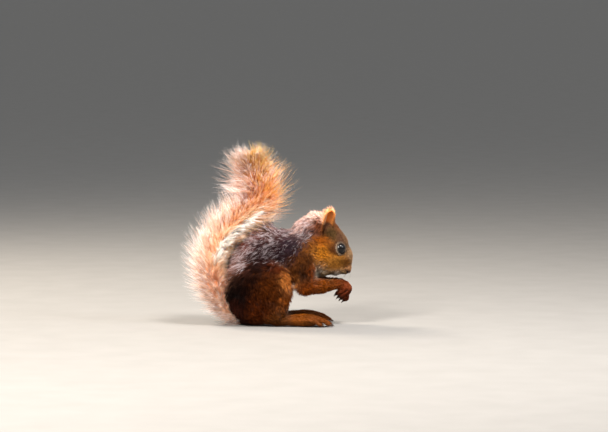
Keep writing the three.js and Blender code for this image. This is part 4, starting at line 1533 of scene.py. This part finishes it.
@dataclass
class EarCoat:
    """The short hair of an ear, and the wisps at its tip and its hind edge."""

    ear: Ear
    short: int = 3000
    wisps: int = 330
    inner: int = 700
    width: float = 0.2
    rooted: float = 0.1  # how deep in the skin a hair starts

    def build(self, material: bpy.types.Material) -> None:
        """Grows the ear's hair, the short first and then the wisps.

        Args:
            material: The hair's finish.
        """
        rng = np.random.default_rng(40 + self.ear.side.value)
        root, up, out, across = self.ear.frame()
        shell = self.ear.shell()
        bmesh.ops.triangulate(shell, faces=shell.faces, quad_method="SHORT_EDGE")
        mesh = to_mesh(shell, "ear")
        places, corners, ways = mesh_arrays(mesh)
        corners = settled(places, corners)
        bpy.data.meshes.remove(mesh)
        at, normal = scatter(rng, places, ways, corners, (self.short + self.inner) * 2 // DRAFT)
        height = (at - root) @ up / self.ear.height
        front = normal @ out > 0.15
        keep = (height > 0.1) & (~front | (rng.random(len(at)) < 0.35))
        at, normal, height, front = at[keep], normal[keep], height[keep], front[keep]
        beside = (at - root) @ across / self.ear.half_width
        lie = unit(up + across * 0.25 * beside[:, None] + 0.15 * rng.normal(size=at.shape))
        lie = unit(flattened(lie, normal))
        length = np.where(front, 1.7, 2.8) * rng.uniform(0.7, 1.3, len(at))
        length = length * (1 - 0.6 * smoothstep(0.8, 1, height))
        rise = np.radians(np.where(front, 30, 18)) * rng.uniform(0.6, 1.3, len(at))
        way = lie * np.cos(rise)[:, None] + normal * np.sin(rise)[:, None]

        n, sign = self.wisps // DRAFT, self.ear.side.value
        spread = rng.uniform(-1, 1, n)
        tuft = root + up * (self.ear.height * (0.955 - 0.16 * spread**2))[:, None]
        tuft = tuft + across * (spread * 4.4)[:, None] + out * rng.uniform(0.2, 1.8, n)[:, None]
        tuft_way = unit(up - out * 0.12 + across * (spread * 0.35)[:, None] + 0.14 * rng.normal(size=(n, 3)))
        tuft_length = rng.uniform(2.2, 5.0, n)
        behind = np.arange(n) % 3 != 0
        edge = root + up * (self.ear.height * rng.uniform(0.4, 0.84, n))[:, None]
        edge = edge + out * rng.uniform(-1, 1.5, n)[:, None]
        edge = edge + across * (sign * self.ear.half_width * rng.uniform(0.45, 0.85, n))[:, None]
        edge_way = unit(up * 0.8 + across * sign * 0.8 - out * 0.1 + 0.22 * rng.normal(size=(n, 3)))
        tuft = np.where(behind[:, None], edge, tuft)
        tuft_way = np.where(behind[:, None], edge_way, tuft_way)

        start = np.concatenate([at - normal * self.rooted, tuft])
        go = np.concatenate([way, tuft_way])
        size = np.concatenate([length, tuft_length])[:, None]
        bent = unit(go - out * 0.1 + 0.1 * rng.normal(size=go.shape))
        middle = start + go * size * 0.5
        paths = np.stack([start, middle, middle + bent * size * 0.5], axis=1)
        tone = self.ear.colour(start) * rng.uniform(0.8, 1.2, len(start))[:, None]
        tips = np.where(np.arange(len(start))[:, None] < len(at), tone * 1.25, linear("#f4c4a8"))
        strands = Strands(
            paths,
            unit(np.cross(go, out) + 1e-4),
            np.full(len(start), self.width * math.sqrt(DRAFT)),
            tone * 0.8,
            tips,
            unwrapped(start, root, root + up),
        )
        add_coat(f"coat_ear_{self.ear.side.label}", strands, material)


# ---------------------------------------------------------------- eyes, nose, claws and whiskers


@dataclass
class Eye:
    """An eyeball with the bare edge of its lids."""

    side: Side
    radius: float = 5.35
    half_long: float = 4.75
    half_tall: float = 4.7
    front_corner: float = 0.08  # how far the lids' opening is drawn out in front
    back_corner: float = 0.05
    looks: tuple[float, float, float] = (0.6106, 0.7915, 0.0255)
    long_way: tuple[float, float, float] = (0.4143, 0, -0.9101)

    # The ridge's section: shares of the opening's radius, and heights over the ball in mm.
    PROFILE = [(0.97, -0.1), (0.98, 0.12), (1.01, 0.24), (1.05, 0.2), (1.09, -0.1), (1.16, -0.8),
               (1.2, -1.8), (1.0, -1.8)]

    def frame(self) -> tuple[Vector, Matrix]:
        """Finds how the eyeball sits.

        Returns:
            Its centre in mm, and its directions: along the lids, across them, and outwards.
        """
        mirror = Vector((1, self.side.value, 1))
        looks = (Vector(self.looks) * mirror).normalized()
        along = Vector(self.long_way)
        along = (along - looks * along.dot(looks)).normalized()
        return Vector(Pelage.EYE) * mirror, Matrix((along, looks.cross(along), looks)).transposed()

    def ball(self, material: bpy.types.Material) -> None:
        """Makes the eyeball.

        Args:
            material: Its finish.
        """
        centre, turn = self.frame()
        shape = bmesh.new()
        bmesh.ops.create_uvsphere(shape, u_segments=48, v_segments=32, radius=self.radius * MM)
        seat = Matrix.Translation(centre * MM) @ turn.to_4x4()
        bmesh.ops.transform(shape, matrix=seat, verts=shape.verts)
        piece = new_piece(f"eyeball_{self.side.label}", to_mesh(shape, "eyeball"), material)
        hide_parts(f"eye_{self.side.label}")

    def lids(self, material: bpy.types.Material) -> None:
        """Makes the lids' bare edge: a low closed ridge round the eye, drawn out to its two corners.

        Args:
            material: Its finish.
        """
        centre, turn = self.frame()
        shape = bmesh.new()
        ring = [shape.verts.new((share, 0, height)) for share, height in self.PROFILE]
        edges = [shape.edges.new(pair) for pair in zip(ring, ring[1:] + ring[:1])]
        bmesh.ops.spin(
            shape,
            geom=ring + edges,
            axis=(0, 0, 1),
            cent=(0, 0, 0),
            angle=2 * math.pi,
            steps=56,
            use_merge=True,
        )
        bmesh.ops.remove_doubles(shape, verts=shape.verts, dist=1e-5)
        for vertex in shape.verts:
            x, y, height = vertex.co
            share = math.hypot(x, y)
            angle = math.atan2(y, x)
            front = self.front_corner * max(0.0, math.cos(angle)) ** 10
            back = self.back_corner * max(0.0, -math.cos(angle)) ** 8
            wide = share * (1 + front + back)
            px, py = wide * self.half_long * math.cos(angle), wide * self.half_tall * math.sin(angle)
            under = min(1.0, 1.0 / share)
            on_ball = math.sqrt(max(self.radius**2 - (px * px + py * py) * under * under, 1.0))
            vertex.co = (centre + turn @ Vector((px, py, on_ball + height))) * MM
        bmesh.ops.recalc_face_normals(shape, faces=shape.faces)
        new_piece(f"lids_{self.side.label}", to_mesh(shape, "lids"), material)


@dataclass
class Nose:
    """The bare nose pad with its two slanting nostrils."""

    centre: tuple[float, float, float] = (86.3, 0, 50.9)
    half: tuple[float, float, float] = (1.9, 2.7, 2.3)
    pitch: float = math.radians(48)
    light: str = "#6c4836"
    # Painted shade in the nostrils and the middle groove.
    dark: str = "#080403"

    def build(self, material: bpy.types.Material) -> None:
        """Makes the nose pad.

        Args:
            material: Its finish, which reads the colour of each place.
        """
        shape = bmesh.new()
        bmesh.ops.create_uvsphere(shape, u_segments=48, v_segments=36, radius=1)
        tones = []
        for vertex in shape.verts:
            x, y, z = vertex.co
            near = ((abs(y) - 0.58) / 0.24) ** 2 + ((z + 0.1 - 0.5 * (abs(y) - 0.6)) / 0.2) ** 2
            slit = ((abs(y) - 0.86) / 0.16) ** 2 + ((z - 0.12) / 0.12) ** 2
            hollow = max(math.exp(-near) * max(0.0, x) * 0.5, math.exp(-slit) * 0.16)
            groove = 0.14 * math.exp(-((y / 0.1) ** 2)) * max(0.0, x)
            # Painted shade: the nostrils and the middle groove are darkened.
            shade = min(1.0, 1.6 * max(math.exp(-near), math.exp(-slit)) + 2.5 * groove)
            tones.append(mixed(linear(self.light), linear(self.dark), np.array(shade)))
            vertex.co = Vector((x - groove - hollow, y * (1 - hollow * 0.5), z * (1 - 0.2 * abs(y))))
        size = Matrix.Diagonal((*self.half, 1))
        turn = Matrix.Rotation(self.pitch, 4, "Y")
        seat = Matrix.Scale(MM, 4) @ Matrix.Translation(self.centre) @ turn @ size
        bmesh.ops.transform(shape, matrix=seat, verts=shape.verts)
        mesh = to_mesh(shape, "nose")
        set_colour(mesh, np.array(tones))
        new_piece("nose_pad", mesh, material)


@dataclass
class Claws:
    """The curved claws of all four feet."""

    toe_length: float = 5.2
    toe_radius: float = 1.25
    toe_height: float = 2.5
    finger_length: float = 4.2
    finger_radius: float = 1.0
    bedded: float = 0.24  # the share of a claw that is in its digit
    foot_middle: float = 22.0  # the foot's distance from the middle plane
    fan: float = 1.5  # how much the toes spread

    TOES = [(-6.3, 59.0), (-3.2, 66.0), (0.2, 69.0), (3.6, 67.5), (6.6, 60.0)]  # places across, and tips
    LOWEST = 0.0001  # no claw dips nearer to the floor, in metres

    def claw(
        self, shape: bmesh.types.BMesh, start: Vector, way: Vector, bend: Vector, length: float, radius: float
    ) -> None:
        """Adds one claw.

        Args:
            shape: The mesh to add it to.
            start: The end of the digit, in mm.
            way: The direction in which it leaves the digit.
            bend: The direction to which it curves.
            length: Its length.
            radius: Half its height at the root.
        """
        way = way.normalized()
        side = way.cross(bend).normalized()
        lean = side.cross(way)
        made = bmesh.ops.create_uvsphere(shape, u_segments=10, v_segments=12, radius=1)["verts"]
        for vertex in made:
            x, y, z = vertex.co
            t = 0.5 - math.asin(max(-1, min(1, z))) / math.pi
            out = radius * min(1.0, math.hypot(x, y) * 3) * (1 - t) ** 0.75
            ring = Vector((x, y)).normalized() if math.hypot(x, y) > 1e-6 else Vector((0, 0))
            along = (t * 0.98 - self.bedded) * length
            drop = bend * 0.42 * length * t * t
            place = start + way * along + drop + side * ring.x * out * 0.7 + lean * ring.y * out
            vertex.co = place * MM

    def build(self, material: bpy.types.Material) -> None:
        """Makes the claws of each foot and hand.

        Args:
            material: Their finish.
        """
        for side in Side:
            sign = side.value
            foot, hand = bmesh.new(), bmesh.new()
            for out, tip in self.TOES:
                start = Vector((tip, sign * (self.foot_middle + out * self.fan), self.toe_height))
                way, bend = Vector((1, sign * out * 0.03, 0.1)), Vector((0, 0, -1))
                self.claw(foot, start, way, bend, self.toe_length, self.toe_radius)
            for line in FINGERS:
                start = Vector(line[-1]) * Vector((1, sign, 1))
                way, bend = Vector((-0.8, -sign * 0.3, -0.4)), Vector((-0.2, 0, -1))
                self.claw(hand, start, way, bend, self.finger_length, self.finger_radius)
            for shape, name in ((foot, "foot"), (hand, "hand")):
                for vertex in shape.verts:
                    vertex.co.z = max(vertex.co.z, self.LOWEST)
                bmesh.ops.recalc_face_normals(shape, faces=shape.faces)
                new_piece(f"claws_{name}_{side.label}", to_mesh(shape, "claws"), material)


@dataclass
class Whiskers:
    """The long dark whiskers of the muzzle."""

    each_side: int = 14
    length: float = 26.0
    width: float = 0.2
    tone: str = "#1d1512"

    STEPS = (0, 0.3, 0.65, 1)  # the places along a whisker

    def build(self, material: bpy.types.Material) -> None:
        """Makes the whiskers.

        Args:
            material: Their finish.
        """
        rng = np.random.default_rng(5)
        paths, spots = [], []
        for sign in (-1, 1):
            for i in range(self.each_side):
                x = 84.4 + rng.uniform(-1.6, 1.6)
                y = sign * (4.6 + rng.uniform(-0.6, 0.4))
                root = np.array([x, y, 52.4 + rng.uniform(-2.0, 2.2)])
                way = unit(np.array([0.1 + rng.uniform(-0.3, 0.2), sign * 0.8, rng.uniform(-0.3, 0.35)]))
                size = self.length * rng.uniform(0.6, 1.0)
                bend = unit(way + np.array([-0.7, 0, -0.25]))
                tip = root + way * size * 0.45 + bend * size * 0.55
                paths.append(curved(root, root + way * size * 0.5, tip, self.STEPS))
                spots.append((0.5 + 0.4 * sign * rng.random(), i / self.each_side))
        count = len(paths)
        flats = np.tile([0.0, 0.0, 1.0], (count, 1))
        tones = np.tile(linear(self.tone), (count, 1))
        widths = np.full(count, self.width)
        strands = Strands(np.array(paths), flats, widths, tones, tones, np.array(spots))
        new_piece("whiskers", strands.mesh("whiskers"), material)


# ---------------------------------------------------------------- the studio


@dataclass
class Studio:
    """A wide pale floor, soft lights and the camera."""

    scale: float = 0.95  # mm of the animal's middle plane to a pixel of the frame
    lens: float = 200.0
    sensor: float = 36.0
    pixels: int = 608
    aim: tuple[float, float, float] = (43.7, 0.0, 103.5)
    elevation: float = math.radians(4)
    clip_end: float = 200.0  # in metres, beyond the floor's rim
    floor_radius: float = 20.0  # in metres, of the flat part
    rim: tuple[float, float] = (4, 2.4)  # its far edge: how many times as wide, and how high in metres

    LIT = Vector((0.01, 0, 0.08))  # where the lights shine, in metres

    def floor(self) -> None:
        """Makes the floor, flat round the animal and rising to a far rim, to fill a low view."""
        shape = bmesh.new()
        bmesh.ops.create_circle(shape, cap_ends=True, segments=64, radius=self.floor_radius)
        edge = bmesh.ops.extrude_edge_only(shape, edges=shape.edges[:])["geom"]
        wide, high = self.rim
        for vertex in edge:
            if isinstance(vertex, bmesh.types.BMVert):
                vertex.co = Vector((wide * vertex.co.x, wide * vertex.co.y, high))
        mesh = to_mesh(shape, "floor")
        mesh.materials.append(PLASTER.material())
        mesh.shade_smooth()
        floor = bpy.data.objects.new("floor", mesh)
        bpy.context.scene.collection.objects.link(floor)

    def lamp(
        self, name: str, place: tuple[float, float, float], power: float, size: float, tint: str
    ) -> None:
        """Adds a round soft light that shines at the animal.

        Args:
            name: The light's name.
            place: Where it hangs, in metres.
            power: Its power in watts.
            size: How wide it is.
            tint: Its colour.
        """
        data = bpy.data.lights.new(name, "AREA")
        data.shape = "DISK"
        data.energy = power
        data.size = size
        data.color = linear(tint)
        lamp = bpy.data.objects.new(name, data)
        lamp.location = place
        lamp.rotation_euler = (self.LIT - Vector(place)).to_track_quat("-Z", "Y").to_euler()
        bpy.context.scene.collection.objects.link(lamp)

    def lights(self) -> None:
        """Hangs the lights: a warm one high behind the left of the view, and soft ones in front."""
        self.lamp("back_light", (-0.7, 0.5, 0.95), 22, 0.4, "#fff0dc")
        self.lamp("key_light", (-0.6, -1.0, 0.9), 38, 0.42, "#fff6ec")
        self.lamp("front_light", (1.05, -0.5, 0.85), 9, 0.5, "#f4f6ff")
        self.lamp("top_light", (0.34, -0.42, 1.0), 16, 0.24, "#fff8f0")
        world = bpy.data.worlds.new("studio")
        bpy.context.scene.world = world
        world.use_nodes = True
        world.node_tree.nodes["Background"].inputs["Color"].default_value = rgba("#e8e9ea")
        world.node_tree.nodes["Background"].inputs["Strength"].default_value = 0.58
        bpy.context.scene.view_settings.view_transform = "Standard"

    def camera(self) -> None:
        """Sets the camera nearly level with the animal, on its right."""
        data = bpy.data.cameras.new("camera")
        data.lens = self.lens
        data.sensor_width = self.sensor
        data.clip_end = self.clip_end
        far = self.scale * self.pixels * self.lens / self.sensor
        camera = bpy.data.objects.new("camera", data)
        away = Vector((0, -math.cos(self.elevation), math.sin(self.elevation)))
        camera.location = (Vector(self.aim) + away * far) * MM
        camera.rotation_euler = (-away).to_track_quat("-Z", "Y").to_euler()
        bpy.context.scene.collection.objects.link(camera)
        bpy.context.scene.camera = camera

    def build(self) -> None:
        """Sets up the studio."""
        self.floor()
        self.lights()
        self.camera()


def main() -> None:
    """Builds the animal and its studio in order."""
    logging.basicConfig(level=logging.INFO, format="%(message)s")
    Studio().build()
    pelage, tail = Pelage(), Tail()
    skin = Skin(pelage, tail)
    piece = skin.build()
    hair = SHORT_HAIR.material()
    BodyCoat(skin, pelage).build(hair)
    for side in Side:
        EarCoat(Ear(side)).build(hair)
    TailCoat(tail, skin.body_tree()).build(LONG_HAIR.material())
    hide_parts("tail_base", "tail_middle", "tail_tip")
    cornea, lid = Cornea().material(), LID_EDGE.material()
    for side in Side:
        eye = Eye(side)
        eye.ball(cornea)
        eye.lids(lid)
    Nose().build(NOSE_LEATHER.material())
    Claws().build(HORN.material())
    Whiskers().build(hair)


if __name__ == "__main__":
    main()
